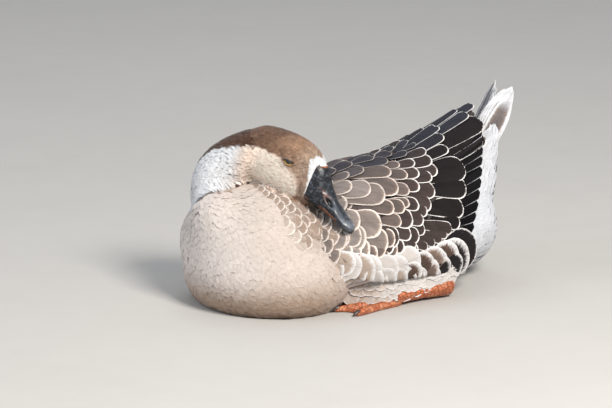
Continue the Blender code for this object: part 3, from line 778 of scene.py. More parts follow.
own_centre = face_centre - ZERO
under = (face_centre[:, 2] < 0.004) & (face_up[:, 2] < -0.8)
eye_gap = np.zeros(len(face_centre), bool)
for side, sign in (("left", 1), ("right", -1)):
    aim, slit, upward = eye_axes(sign)
    ray = face_centre - np.array(eye_at[side])
    ahead = np.maximum(ray @ aim, 1e-5)
    oval = (np.arctan2(ray @ slit, ahead) / 0.76) ** 2 + (np.arctan2(ray @ upward, ahead) / 0.33) ** 2
    eye_gap |= (oval < 1) & (np.linalg.norm(ray, axis=1) < EYE_RADIUS + 0.003) & (ray @ aim > 0)
face_head = in_head(face_centre)
at_bill = behind_bill(face_head) < 0.0012
numbers = np.arange(len(corners))
hidden_wing = (face_part == WING) & (wing_share(face_centre) > 0.15) & (own_centre[:, 2] > 0.046)
on_head = (face_part == HEAD) & ~eye_gap & ~at_bill
near_head = (face_part == NECK) & (face_head[:, 0] > -0.105)
on_neck = (face_part == NECK) & ~near_head
on_breast = (face_part == BREAST) & ~under
on_vent = (face_part == TRUNK) & (own_centre[:, 0] > 0.125) & ~under
on_trunk = ((face_part == TRUNK) & ~on_vent & ~under) | ((face_part == WING) & ~hidden_wing)
coats = {
    "head_feathers": tufts("head_feathers", numbers[on_head], 0.00135, 0.0050, 0.0018, SHORT_LEAF, 3, 0.0009,
                           0.0003, 0.0001, 8, 0.92, small=near_bill, rows_painted=True, uneven=0.10),
    "nape_feathers": tufts("nape_feathers", numbers[near_head], 0.0020, 0.0085, 0.0027, SHORT_LEAF, 3, 0.0018,
                           0.0004, 0.0001, 8, 0.90, rows_painted=True, uneven=0.09),
    "neck_feathers": tufts("neck_feathers", numbers[on_neck], 0.0023, 0.0130, 0.0042, SHORT_LEAF, 3, 0.0026,
                           0.0005, 0.0001, 7, 0.95, ragged=0.05, small=near_nape, rows_painted=True),
    "breast_feathers": tufts("breast_feathers", numbers[on_breast], 0.0037, 0.0235, 0.0135, LONG_LEAF, 5,
                             0.0045, 0.0002, 0.0018, 7, 1.0, ragged=0.025, uneven=0.02, cup=0.012),
    "flank_feathers": tufts("flank_feathers", numbers[on_trunk], 0.0050, 0.0250, 0.0130, LONG_LEAF, 5, 0.0050,
                            0.0005, 0.0022, 8, 0.97, cup=0.03),
    "vent_feathers": tufts("vent_feathers", numbers[on_vent], 0.0050, 0.0300, 0.0100, LONG_LEAF, 5, 0.0055,
                           0.0006, 0.0010, 6, 0.96, uneven=0.02, cup=0.02),
    "belly_feathers": tufts("belly_feathers", numbers[under & (face_part != WING)], 0.0095, 0.0240, 0.0150,
                            LONG_LEAF, 5, 0.0050, 0.0002, 0.0010, 8, 0.86, ragged=0.02),
}

# %% [markdown]
# ## Laying a large feather
# Wing feathers are too large to be straight. Each is laid backwards from its tip: a walk over the wing's
# surface finds the shaft, the blade is spread to both sides of it, and every point is dropped on the
# surface again and lifted, a little at the root and more at the tip. The upper edge is pressed down,
# because the feather above covers it.

# %% Lay one vane
VANE_COLUMNS = np.sin(np.linspace(-1, 1, 9) * math.pi / 2)
SHAFT_STEPS = 8


def vane_outline(length, width, cap, root, point=1.0, square=1.0):
    """Shares along the vane and the half width at each, with a round tip that is cap half widths long."""
    full = 1 - min(0.72, cap * width / 2 / length)
    angle = np.radians([0, 18, 36, 52, 66, 77, 86])
    share = np.concatenate([np.linspace(0, full, 7)[:-1], full + (1 - full) * np.sin(angle) ** square])
    grown = root + (1 - root) * np.sin(np.clip(share / max(full, 0.3), 0, 1) * math.pi / 2)
    closed = np.concatenate([np.ones(6), np.cos(angle) ** (point * square)])
    return share, grown * closed * width / 2


def rim_of(share, half, length):
    """The distance of each vane point from the vane's edge, tip included."""
    fine = np.linspace(0, 1, 90)
    edge = np.interp(fine, share, half)
    border = np.concatenate([np.stack([edge, fine * length], 1), np.stack([-edge, fine * length], 1)])
    x = half[:, None] * VANE_COLUMNS[None, :]
    y = share[:, None] * length + np.zeros_like(x)
    away = np.hypot(x[..., None] - border[:, 0], y[..., None] - border[:, 1])
    return away.min(axis=-1)


def lay_vane(tree, tip, heading, length, width, low, high, cap=0.85, root=0.45, roll=0.0006, cup=0.05,
             bend=0.0, skew=0.0, square=0.80):
    """One vane on a surface: its points, the distances from its edge and its flat places."""
    share, half = vane_outline(length, width, cap, root, square=square)
    place, normal = tree.find_nearest(Vector(tip))[:2]
    way = Vector(heading)
    line, ways = [place], []
    for _ in range(SHAFT_STEPS):
        way = (way - normal * way.dot(normal)).normalized()
        way = Matrix.Rotation(bend / SHAFT_STEPS, 3, normal) @ way
        before = place - way * (length / SHAFT_STEPS)
        before, normal = tree.find_nearest(before)[:2]
        ways.append(way.copy())
        way = (place - before).normalized()
        place = before
        line.append(place)
    ways.append(ways[-1])
    at = np.linspace(0, 1, SHAFT_STEPS + 1)
    shaft = np.stack([np.interp(share, at, np.array(line)[::-1, k]) for k in range(3)], 1)
    along = np.stack([np.interp(share, at, np.array(ways)[::-1, k]) for k in range(3)], 1)
    _, out = drop_on(tree, shaft)
    side = unit(np.cross(out, along))
    x = half[:, None] * VANE_COLUMNS[None, :]
    back_off = (-skew * x * share[:, None] ** 2)[..., None] * along[:, None]
    spots, ups = drop_on(tree, shaft[:, None] + side[:, None] * x[..., None] + back_off)
    over = VANE_COLUMNS[None, :]
    height = mix(low, high, share)[:, None] - roll * over - cup * half[:, None] * over**2
    points = spots + ups * height[..., None]
    flat = np.stack([x, share[:, None] * length + np.zeros_like(x)], -1)
    return points, rim_of(share, half, length), flat


# %% [markdown]
# ## The wing, row by row
# The folded wing is the showpiece. From the shoulder back it carries small scapulars and coverts with broad
# pale edges, then the large round tertials, and last the black secondaries, of which only the thin pale
# edges show. Each row below is a list of feather tips by share of the way back, angle down from the ridge
# and width in millimetres. A plain dark underlayer behind them fills what they leave open.

# %% Rows of wing feathers
BLACK, DARK, SLATE = paint(6, 5, 7), paint(28, 23, 24), paint(60, 51, 49)
BROWN, PALE_BROWN, LIGHT_BROWN = paint(94, 84, 80), paint(118, 108, 103), paint(136, 127, 123)
WHITE_EDGE, CREAM_EDGE, GREY_EDGE = paint(226, 223, 221), paint(212, 199, 190), paint(176, 176, 180)
# Painted shade: a cool blue grey for the top of the wing near the ridge of the back.
RIDGE_SHADE_BLUE = paint(44, 45, 54)
# Name, paint, edge paint, edge width in mm, length in widths, lift in mm, tips. A turn downwards that
# differs from the general lie of the wing is a fourth number of a tip.
WING_ROWS = (
    ("secondaries", BLACK, GREY_EDGE, 0.8, 4.6, -0.4,
     [(1.00, 27 + 4.8 * n, 18, -3) for n in range(11)]),
    ("lower tertials", DARK, WHITE_EDGE, 1.3, 4.2, 0.1,
     [(1.005, 31, 26, 0)]),
    ("long tertials", DARK, WHITE_EDGE, 1.3, 3.6, 0.8,
     [(1.00, 21, 33, 3), (1.00, 2.5, 18, 0)]),
    ("ridge tertials", DARK, WHITE_EDGE, 1.2, 4.6, 1.3,
     [(0.965, 9.5, 20, 4)]),
    ("short tertials", DARK, WHITE_EDGE, 1.2, 3.0, 1.0,
     [(0.850, 14, 22, 6), (0.845, 25, 20, 8), (0.86, 4, 16, 2)]),
    ("round tertials", DARK, WHITE_EDGE, 1.4, 2.3, 0.9,
     [(0.885, 67, 22, 18), (0.900, 60.5, 27, 20), (0.912, 51.5, 32, 26), (0.905, 41, 37, 17)]),
    ("greater coverts", SLATE, WHITE_EDGE, 1.0, 3.6, 0.9,
     [(0.830, 69.5, 16, 20), (0.800, 72, 14, 20), (0.765, 74.5, 13, 20), (0.715, 76, 12, 20),
      (0.665, 78, 12, 20)]),
    ("median coverts", SLATE, WHITE_EDGE, 1.6, 2.0, 1.1,
     [(0.750, 8, 12), (0.762, 18.5, 17), (0.764, 26.5, 20), (0.770, 34, 21), (0.735, 36.5, 18),
      (0.730, 45, 24), (0.695, 52, 23), (0.665, 55.5, 18), (0.635, 60.5, 18), (0.640, 67, 15),
      (0.600, 71, 18), (0.580, 76, 18), (0.535, 79.5, 15), (0.600, 80, 14)]),
    ("lesser coverts", SLATE, WHITE_EDGE, 1.7, 1.9, 1.2,
     [(0.695, 10.5, 15), (0.690, 22, 18), (0.682, 30, 20), (0.655, 39, 20), (0.620, 51, 18),
      (0.565, 60, 24), (0.545, 69, 16), (0.465, 71, 24), (0.430, 76, 17), (0.500, 77, 15)]),
    ("shoulder coverts", BROWN, CREAM_EDGE, 1.8, 1.8, 1.3,
     [(0.645, 3, 16, 16), (0.620, 18.5, 18), (0.622, 28.5, 20), (0.590, 40, 20), (0.565, 49.5, 14),
      (0.530, 51.5, 19), (0.490, 60, 16), (0.455, 79, 17), (0.380, 76.5, 22), (0.400, 82, 17),
      (0.440, 71, 20)]),
    ("large scapulars", BROWN, CREAM_EDGE, 2.3, 2.1, 1.4,
     [(0.590, 9, 25, 14), (0.550, 2, 18, 12), (0.550, 22.5, 27), (0.535, 36.5, 31), (0.465, 51, 20),
      (0.330, 80, 18)]),
    ("broad scapulars", PALE_BROWN, CREAM_EDGE, 2.6, 1.6, 1.5,
     [(0.395, 72, 27), (0.372, 59, 34), (0.447, 39, 34), (0.440, 12, 24, 14), (0.430, 2, 18, 12),
      (0.285, 77, 22)]),
    ("front scapulars", LIGHT_BROWN, CREAM_EDGE, 2.7, 1.5, 1.6,
     [(0.395, 31.5, 30), (0.272, 68, 29), (0.360, 14, 18), (0.340, 4, 17), (0.235, 79, 22)]),
    ("shoulder patch", LIGHT_BROWN, CREAM_EDGE, 2.5, 1.5, 1.7,
     [(0.325, 24.5, 25), (0.268, 53, 28), (0.248, 66, 24), (0.270, 7, 17), (0.265, 16, 18),
      (0.250, 37, 24), (0.170, 68, 22), (0.185, 80, 22), (0.190, 52, 22), (0.200, 24, 20),
      (0.200, 8, 16)]),
    ("bend of the wing", PALE_BROWN, CREAM_EDGE, 1.8, 1.7, 1.7,
     [(0.145, 30, 18), (0.140, 45, 18), (0.140, 14, 15), (0.140, 2, 13), (0.120, 82, 18),
      (0.100, 72, 17), (0.100, 59, 16), (0.080, 48, 16), (0.070, 36, 15), (0.070, 24, 14),
      (0.070, 12, 13), (0.060, 78, 15), (0.050, 66, 15)]),
)
UNDER_SHARES = np.arange(0.12, 1.0, 0.052)
UNDER_ANGLES = np.arange(1, 92, 8.0)
UNDER_WIDTH, UNDER_LENGTH, UNDER_DEPTH = 20 * MM, 44 * MM, -5.7 * MM
SECONDARY_SHAPE = {"cap": 0.6, "roll": 0.0012, "skew": -0.40, "square": 1.0}
LONGEST = 118  # mm, the longest feather of the folded wing
SHORT_FORM, BROADER = 2.2, 1.16  # feathers shorter than so many widths are made so much broader


def wing_frame(share, angle):
    """A place on the wing with the unit ways back and down the surface there."""
    step = 0.004
    place = wing_place(np.array([share]), np.array([angle]))[0]
    backward = wing_place(np.array([share + step]), np.array([angle]))[0] - place
    downward = wing_place(np.array([share]), np.array([angle + 1.0]))[0] - place
    backward = unit(backward)
    downward = unit(downward - backward * (downward @ backward))
    return place, backward, downward


def wing_vane(share, angle, width, length, turn, low, high, **shape):
    """One vane whose tip is at a share and an angle of the wing, turned down by so many degrees."""
    place, backward, downward = wing_frame(share, angle)
    radians = math.radians(turn)
    heading = backward * math.cos(radians) + downward * math.sin(radians)
    return lay_vane(wing_tree, place, heading, length, width, low, high, **shape)


def wing_coat():
    """All the blades of the left wing, as one list of rows ready to be stacked."""
    blades = []
    for i, share in enumerate(UNDER_SHARES):
        for angle in UNDER_ANGLES + (i % 2) * 4.0:
            deep = mix(mix(BROWN, SLATE, ramp(share, 0.25, 0.45)), BLACK, ramp(share, 0.50, 0.70))
            deep = deep * TAKE.normal(1, 0.07)
            laid = wing_vane(share, angle, UNDER_WIDTH, UNDER_LENGTH, 30 - 0.2 * angle, UNDER_DEPTH,
                             -2.6 * MM - 0.002 * share)
            edge = mix(CREAM_EDGE, deep * 1.4, ramp(share, 0.70, 0.78))
            blades.append((laid, deep, edge, 1.4, 0.25))
    for name, tone, edge, fringe, slender, lift, tips in WING_ROWS:
        for share, angle, width, *turn in tips:
            own = (turn[0] if turn else 32 - 0.22 * angle) + TAKE.normal(0, 2.0)
            length = min(width * slender, LONGEST) * MM
            width = width * (BROADER if slender < SHORT_FORM else 1.0)
            low = -(2.6 + 0.014 * length / MM) * MM
            # Painted shade: near the ridge the feathers turn blue grey and their pale edges darker, for the
            # cool sky-lit shade on top of the wing; the edges there are also thinner.
            ridge = 1 - ramp(angle, 8, 22)
            paint_own = mix(tone, RIDGE_SHADE_BLUE, 0.9 * ridge) * TAKE.normal(1, 0.10)
            thin_and_shaded = 1 - 0.5 * ridge * (share < 0.8)
            shape = SECONDARY_SHAPE if name == "secondaries" else {}
            laid = wing_vane(share, angle, width * MM, length, own, low, lift * MM, **shape)
            blades.append((laid, paint_own, edge * thin_and_shaded, fringe * thin_and_shaded * TAKE.normal(1, 0.10), 0.06))
    return blades


blades = wing_coat()
print("feathers laid on one wing:", len(blades))

# %% [markdown]
# The blades of a wing become one mesh a side. The right wing is the mirror of the left. In the flat map
# each wing feather has a cell of its own in a plain grid, larger than a tuft's patch, so its fringe
# survives the bake.

# %% Stack the wing feathers
def stack_vanes(name, laid_blades, mirrored, shine, pale_from=2.0):
    """One mesh of vanes, mirrored to the other side where asked.

    Beyond pale_from, a share of the length, the tips take the edge paint.
    """
    points = np.array([b[0][0] for b in laid_blades])
    rim = np.array([b[0][1] for b in laid_blades]) / MM
    flat = np.array([b[0][2] for b in laid_blades]) * 100
    if mirrored:
        points = points * np.array([1, -1, 1])
        points, rim, flat = points[:, :, ::-1], rim[:, :, ::-1], flat[:, :, ::-1]
    shape = points.shape[:3]
    y = flat[..., 1] / flat[..., 1].max(axis=(1, 2), keepdims=True)
    # Painted light: each vane is darker at its root, a painted shade, and lighter by the shine towards its
    # tip, a painted sheen.
    tone = np.array([b[1] for b in laid_blades])[:, None, None] * mix(0.86, shine, y)[..., None]
    edge = np.array([b[2] for b in laid_blades])[:, None, None] * np.ones((*shape, 1))
    tone = mix(tone, edge, ramp(y, pale_from, pale_from + 0.12))
    fringe = np.array([b[3] for b in laid_blades])[:, None, None]
    fringe = fringe * ramp(y, *np.array([(b[4], b[4] + 0.3) for b in laid_blades]).T[:, :, None, None])
    fringe = fringe * mix(0.62, 1.0, ramp(y, 0.72, 0.97))
    across = math.ceil(math.sqrt(len(laid_blades)))
    number = np.arange(len(laid_blades))
    corner = np.stack([number % across, number // across], 1)[:, None, None] / across
    widest = np.abs(flat[..., 0]).max(axis=(1, 2), keepdims=True)
    inner = np.stack([0.5 + 0.46 * flat[..., 0] / widest, 0.04 + 0.92 * y], -1)
    return blade_mesh(name, points, np.clip(tone, 0, 0.95), np.clip(edge, 0, 0.95), rim, fringe, flat,
                      corner + inner / across)[0]


for side in ("left", "right"):
    coats["wing_feathers_" + side] = stack_vanes("wing_feathers_" + side, blades, side == "right", 1.06)

# %% [markdown]
# ## Plumes that curl over the wing
# Large soft feathers of the flank come up from below and curl over the lower edge of the folded wing.
# Towards the tail they are dark with a broad white fringe, and towards the breast they fade to cream and
# white. They lie on the common form, so each one can start on the flank and end on the wing. A smaller
# plume under each, a little off its line, breaks up the row.

# %% Lay the flank plumes
PLUME_BLACK, PLUME_BROWN, PLUME_GREY = paint(28, 24, 26), paint(74, 60, 53), paint(104, 90, 83)
PLUME_BUFF, PLUME_WHITE, FLUFF = paint(170, 154, 142), paint(204, 201, 202), paint(190, 183, 179)
# Paint, fringe, length and width in mm, turn in degrees, share and angle of the tip, from the rear on.
PLUMES = (
    (PLUME_BLACK, 1.5, 72, 50, -25, 1.015, 79), (PLUME_BLACK, 3.0, 58, 30, -20, 0.960, 91),
    (PLUME_BLACK, 6.0, 64, 44, -25, 0.985, 80), (PLUME_BROWN, 6.0, 60, 40, -25, 0.885, 79.5),
    (PLUME_BLACK, 4.0, 46, 28, -20, 0.860, 92), (PLUME_GREY, 5.0, 56, 38, -22, 0.800, 83.5),
    (PLUME_BROWN, 5.0, 48, 34, -20, 0.715, 87.5), (PLUME_GREY, 4.5, 42, 26, -20, 0.770, 94),
    (FLUFF, 4.5, 44, 34, -20, 0.610, 85), (PLUME_BROWN, 5.0, 42, 27, -18, 0.650, 92),
    (FLUFF, 4.5, 42, 32, -18, 0.530, 86), (PLUME_BUFF, 4.0, 38, 28, -14, 0.560, 95),
    (FLUFF, 4.5, 44, 34, -12, 0.450, 87), (FLUFF, 4.5, 40, 30, -10, 0.470, 96),
    (FLUFF, 4.0, 44, 34, -6, 0.370, 87), (PLUME_BUFF, 4.0, 42, 36, -4, 0.320, 89),
    (FLUFF, 4.0, 40, 30, -2, 0.390, 98), (FLUFF, 4.0, 38, 30, 2, 0.240, 89),
    (PLUME_BUFF, 3.5, 36, 28, 6, 0.180, 92),
)


body_and_wing = BVHTree.FromPolygons(
    form_points.tolist() + sheet.reshape(-1, 3).tolist(),
    quads + [tuple(q) for q in sheet_faces + len(form_points)])


def plume_coat():
    """All the plumes of the left side, each with a smaller one under it."""
    blades = []
    for tone, fringe, length, width, turn, share, angle in PLUMES:
        for under in (0, 1):
            stray, slip = TAKE.normal(0, 0.010), TAKE.normal(0, 1.3)
            place, backward, downward = wing_frame(share + stray - 0.04 * under, angle + slip + 7 * under)
            own = math.radians(turn + TAKE.normal(0, 4 + 9 * under))
            heading = backward * math.cos(own) + downward * math.sin(own)
            size = (1.12 - 0.16 * under) * TAKE.normal(1, 0.07) * MM
            low, high = -0.003 - 0.001 * under, 0.0030 - 0.0014 * under
            laid = lay_vane(body_and_wing, place, heading, length * size, width * size, low, high, cap=1.0,
                            root=0.6, roll=-0.0004, cup=0.035, bend=math.radians(26), square=0.9)
            own_tone, own_fringe = tone * TAKE.normal(1, 0.06), fringe * TAKE.normal(1, 0.15)
            blades.append((laid, own_tone, PLUME_WHITE, own_fringe, 0.2))
    return blades


plumes = plume_coat()
for side in ("left", "right"):
    coats["flank_plumes_" + side] = stack_vanes("flank_plumes_" + side, plumes, side == "right", 1.0)

# %% [markdown]
# ## Fluff over the leg
# The shank goes up under the feathers of the flank. Long pale ones hang from under the wing's edge down to
# the leg. They are laid like shingles on a loose curtain that runs from the edge of the wing to the outer
# side of the leg.

# %% Hang the fluff
SKIRT_ROWS = (1.0, 0.84, 0.68, 0.52)  # how far down the curtain the tips of each row are
SKIRT_TOP, FLUFF_STEP = 0.058, 0.0078  # the height of the curtain's top, and from feather to feather
FLUFF_LENGTH, FLUFF_WIDTH = 0.034, 0.020


def skirt_place(x, down):
    """The curtain: x along the bird, and down from 0 under the wing to 1 on top of the leg."""
    low = np.interp(x, (-0.09, 0.0, 0.074, 0.11), (0.006, 0.008, 0.019, 0.027))
    y = np.interp(down, (-0.8, 0.2, 0.6, 1.0), (-0.080, -0.1015, -0.1115, -0.1110))
    y = y + 0.014 * ramp(x, 0.070, 0.115) + 0.022 * ramp(-x, 0.015, 0.060)
    return ZERO + np.stack([x, y, SKIRT_TOP + (low - SKIRT_TOP) * down], axis=-1)


skirt = skirt_place(*np.meshgrid(np.linspace(-0.105, 0.125, 47), np.linspace(-0.8, 1.1, 20), indexing="ij"))
skirt_tree = BVHTree.FromPolygons(skirt.reshape(-1, 3).tolist(), grid_faces(skirt).tolist())
fluff_blades = []
for number, down in enumerate(SKIRT_ROWS):
    for x in np.arange(-0.046 + 0.004 * (number % 2), 0.094, FLUFF_STEP):
        heading = Vector((0.55 + TAKE.normal(0, 0.18), 0.0, -0.85))
        spot = skirt_place(np.array(x + TAKE.normal(0, 0.0015)), np.array(down + TAKE.normal(0, 0.05)))
        laid = lay_vane(skirt_tree, spot, heading, FLUFF_LENGTH, FLUFF_WIDTH, -0.004, 0.0016, root=0.7,
                        cup=0.02)
        pale = mix(PLUME_BUFF, FLUFF, ramp(x + TAKE.normal(0, 0.02), -0.05, 0.01)) * TAKE.normal(1, 0.04)
        fluff_blades.append((laid, pale, mix(pale, PLUME_WHITE, 0.5), 2.2, 0.2))
for side in ("left", "right"):
    coats["leg_fluff_" + side] = stack_vanes("leg_fluff_" + side, fluff_blades, side == "right", 1.1)

# %% [markdown]
# ## Soft feathers before the wing
# Between the breast and the shoulder lie soft round feathers with pale edges, whose tips point back and
# down. They are scattered over that part of the common form, on both sides of the bird, and laid one by
# one.

# %% Lay the round feathers
WHORL_GAP, WHORL_END = 0.0088, -0.048  # from feather to feather, and where the wing covers them
WHORL_LENGTH, WHORL_WIDTH = 0.026, 0.0185
at_shoulder = (whorl_share(face_centre) > 0.45) & (face_part >= BREAST)
whorl_spots = scatter(numbers[at_shoulder], WHORL_GAP)[2]
whorl_spots = whorl_spots[(whorl_spots[:, 0] - ZERO[0]) < WHORL_END]
whorl_blades = []
for spot in whorl_spots:
    sign = math.copysign(1, spot[1])
    own = spot - ZERO
    heading = Vector((0.85, 0.0, -0.50 + TAKE.normal(0, 0.15)))
    laid = lay_vane(body_and_wing, spot, heading, WHORL_LENGTH, WHORL_WIDTH, -0.0045, 0.0020, root=0.6,
                    roll=-sign * 0.0003, bend=-sign * math.radians(14), cap=1.0, cup=0.02)
    pale = mix(BREAST_MID, WHORL, ramp(own[0] + 0.4 * (own[2] - 0.09), -0.122, -0.098)) * TAKE.normal(1, 0.05)
    whorl_blades.append((laid, pale, mix(pale, WHORL_EDGE, 0.8), 1.7 * TAKE.normal(1, 0.12), 0.3))
print("round feathers before the wings:", len(whorl_blades))
coats["shoulder_feathers"] = stack_vanes("shoulder_feathers", whorl_blades, False, 1.0)

# %% [markdown]
# ## The lining under the flight feathers
# Between the feathers on top and the flank below, a folded wing is closed by more dark feathers that nobody
# sees one by one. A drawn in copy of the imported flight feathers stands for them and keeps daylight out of
# the wing.

# %% Make the lining
LINING_DEPTH = 0.0022
linings = {}
for side in ("left", "right"):
    lining = remeshed("wing_lining_" + side, ("flight_feathers_" + side,), 0.0030, 3)
    points = rows_of(lining.data, lining.data.vertices, "co", 3)
    normals = unit(rows_of(lining.data, lining.data.vertices, "normal", 3))
    points = points - normals * LINING_DEPTH
    lining.data.vertices.foreach_set("co", points.astype(np.float32).ravel())
    lining.data.update()
    lining.data.shade_smooth()
    linings[side] = lining
print("lining faces:", [len(lining.data.polygons) for lining in linings.values()])

# %% [markdown]
# ## The tail
# The closed tail stands up steeply behind the wings. Its feathers leave one narrow root and fan out a
# little. The middle ones lie on top and face forward, and the outer ones turn to the sides like the slopes
# of a roof. Their centres are grey brown and their edges and tips are white. Longer white coverts wrap the
# root.

# %% Build the tail feathers
TAIL_BASE, TAIL_RISE, TAIL_LENGTH = np.array([0.1525, 0.0, 0.096]), math.radians(59), 0.1365
TAIL_SPREAD, TAIL_HALF_BASE, TAIL_ROOF = math.radians(3.6), 0.015, math.radians(74)
TAIL_CENTRE, TAIL_WHITE = paint(88, 76, 72), paint(208, 210, 216)
TAIL_WIDTH, RIGHT_GREY, RIGHT_LONGER = 0.0225, 0.04, 1.035
tail_along = np.array([math.cos(TAIL_RISE), 0, math.sin(TAIL_RISE)])
tail_front = np.array([-math.sin(TAIL_RISE), 0, math.cos(TAIL_RISE)])
sideways = np.array([0.0, 1.0, 0.0])
# Each pair: place across from the middle (0) to the outside (1), share of the full length, how grey the
# centre is, and how far it stands in front of the middle line in millimetres. On the bird's right the
# feathers are a little longer and nearly white.
TAIL_PAIRS = (
    (1.00, 0.975, 0.90, -4.0), (0.86, 1.000, 0.95, -2.0), (0.72, 0.985, 0.90, 0.0), (0.58, 0.965, 0.75, 2.0),
    (0.42, 0.925, 0.30, 3.0), (0.26, 0.885, 0.30, 3.8), (0.10, 0.865, 0.30, 4.4), (0.93, 0.94, 0.2, -7.0),
    (0.70, 0.95, 0.2, -5.5), (0.45, 0.92, 0.2, -4.0), (0.18, 0.88, 0.2, -3.0),
)


def straight_vane(base, along, up, length, width, cap, root, cup, curl, point):
    """A vane in open air: cupped across and curling back a little towards its tip."""
    share, half = vane_outline(length, width, cap, root, point)
    side = np.cross(up, along)
    x = half[:, None] * VANE_COLUMNS[None, :]
    y = share[:, None] * length
    over = -cup * half[:, None] * VANE_COLUMNS[None, :] ** 2 - curl * length * share[:, None] ** 2
    points = base + side * x[..., None] + along * y[..., None] + up * over[..., None]
    return points, rim_of(share, half, length), np.stack([x, y + np.zeros_like(x)], -1)


tail_blades = []
for out, long, grey, ahead in TAIL_PAIRS:
    for k in (-out, out):
        turn, roof = k * TAIL_SPREAD, k * TAIL_ROOF
        along = tail_along * math.cos(turn) + sideways * math.sin(turn)
        up = unit(tail_front * math.cos(roof) + sideways * math.sin(roof))
        base = ZERO + TAIL_BASE + sideways * k * TAIL_HALF_BASE * 0.8 + tail_front * ahead * MM
        length = TAIL_LENGTH * long * TAKE.normal(1, 0.006) * (1.0 if k < 0 else RIGHT_LONGER)
        centre = mix(TAIL_WHITE, TAIL_CENTRE, grey if k < 0 else RIGHT_GREY)
        laid = straight_vane(base, along, up, length, TAIL_WIDTH, 3.6, 0.5, 0.14, 0.004, 1.6)
        tail_blades.append((laid, centre * TAKE.normal(1, 0.04), TAIL_WHITE, 4.6 * TAKE.normal(1, 0.10), 0.2))
coats["tail_feathers"] = stack_vanes("tail_feathers", tail_blades, False, 1.0, 0.80)

# %% [markdown]
# ## The bill
# The bill is horn over bone: black slate with a soft shine, a nostril slit on each side, a fold of skin
# along the mouth that shows orange, and a hard pale nail at the tip. The white feathers of the band run a
# little way onto its top, and an orange spot sits before them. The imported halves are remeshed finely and
# then shaped point by point in the head's frame, and each point is painted by where it is.

# %% Shape and paint the bill
NOSTRIL, NOSTRIL_HALF, NOSTRIL_DEEP = (0.0350, 0.0100, -0.0058), (0.0072, 0.0020), 0.0030
HORN_VOXEL = 0.00075
NOSTRIL_LINE = (0.94, -0.34)  # the slit's way in the side view: along and down
# The middle paint is a painted highlight on the slate.
BILL_SLATE, BILL_SHEEN, BILL_NAIL = paint(25, 27, 32), paint(92, 99, 110), paint(124, 130, 140)
# The last paint is painted shade, for the nostril slits and the groove along the mouth.
BILL_ORANGE, BILL_PINK, BILL_RECESS_SHADE = paint(190, 116, 70), paint(160, 118, 108), paint(8, 7, 8)
MOUTH_LINE = ((0.0, -0.0170), (0.0088, -0.0164), (0.0206, -0.0157), (0.0354, -0.0158), (0.0490, -0.0171),
              (0.0612, -0.0187), (0.0682, -0.0199), (0.0720, -0.0206))


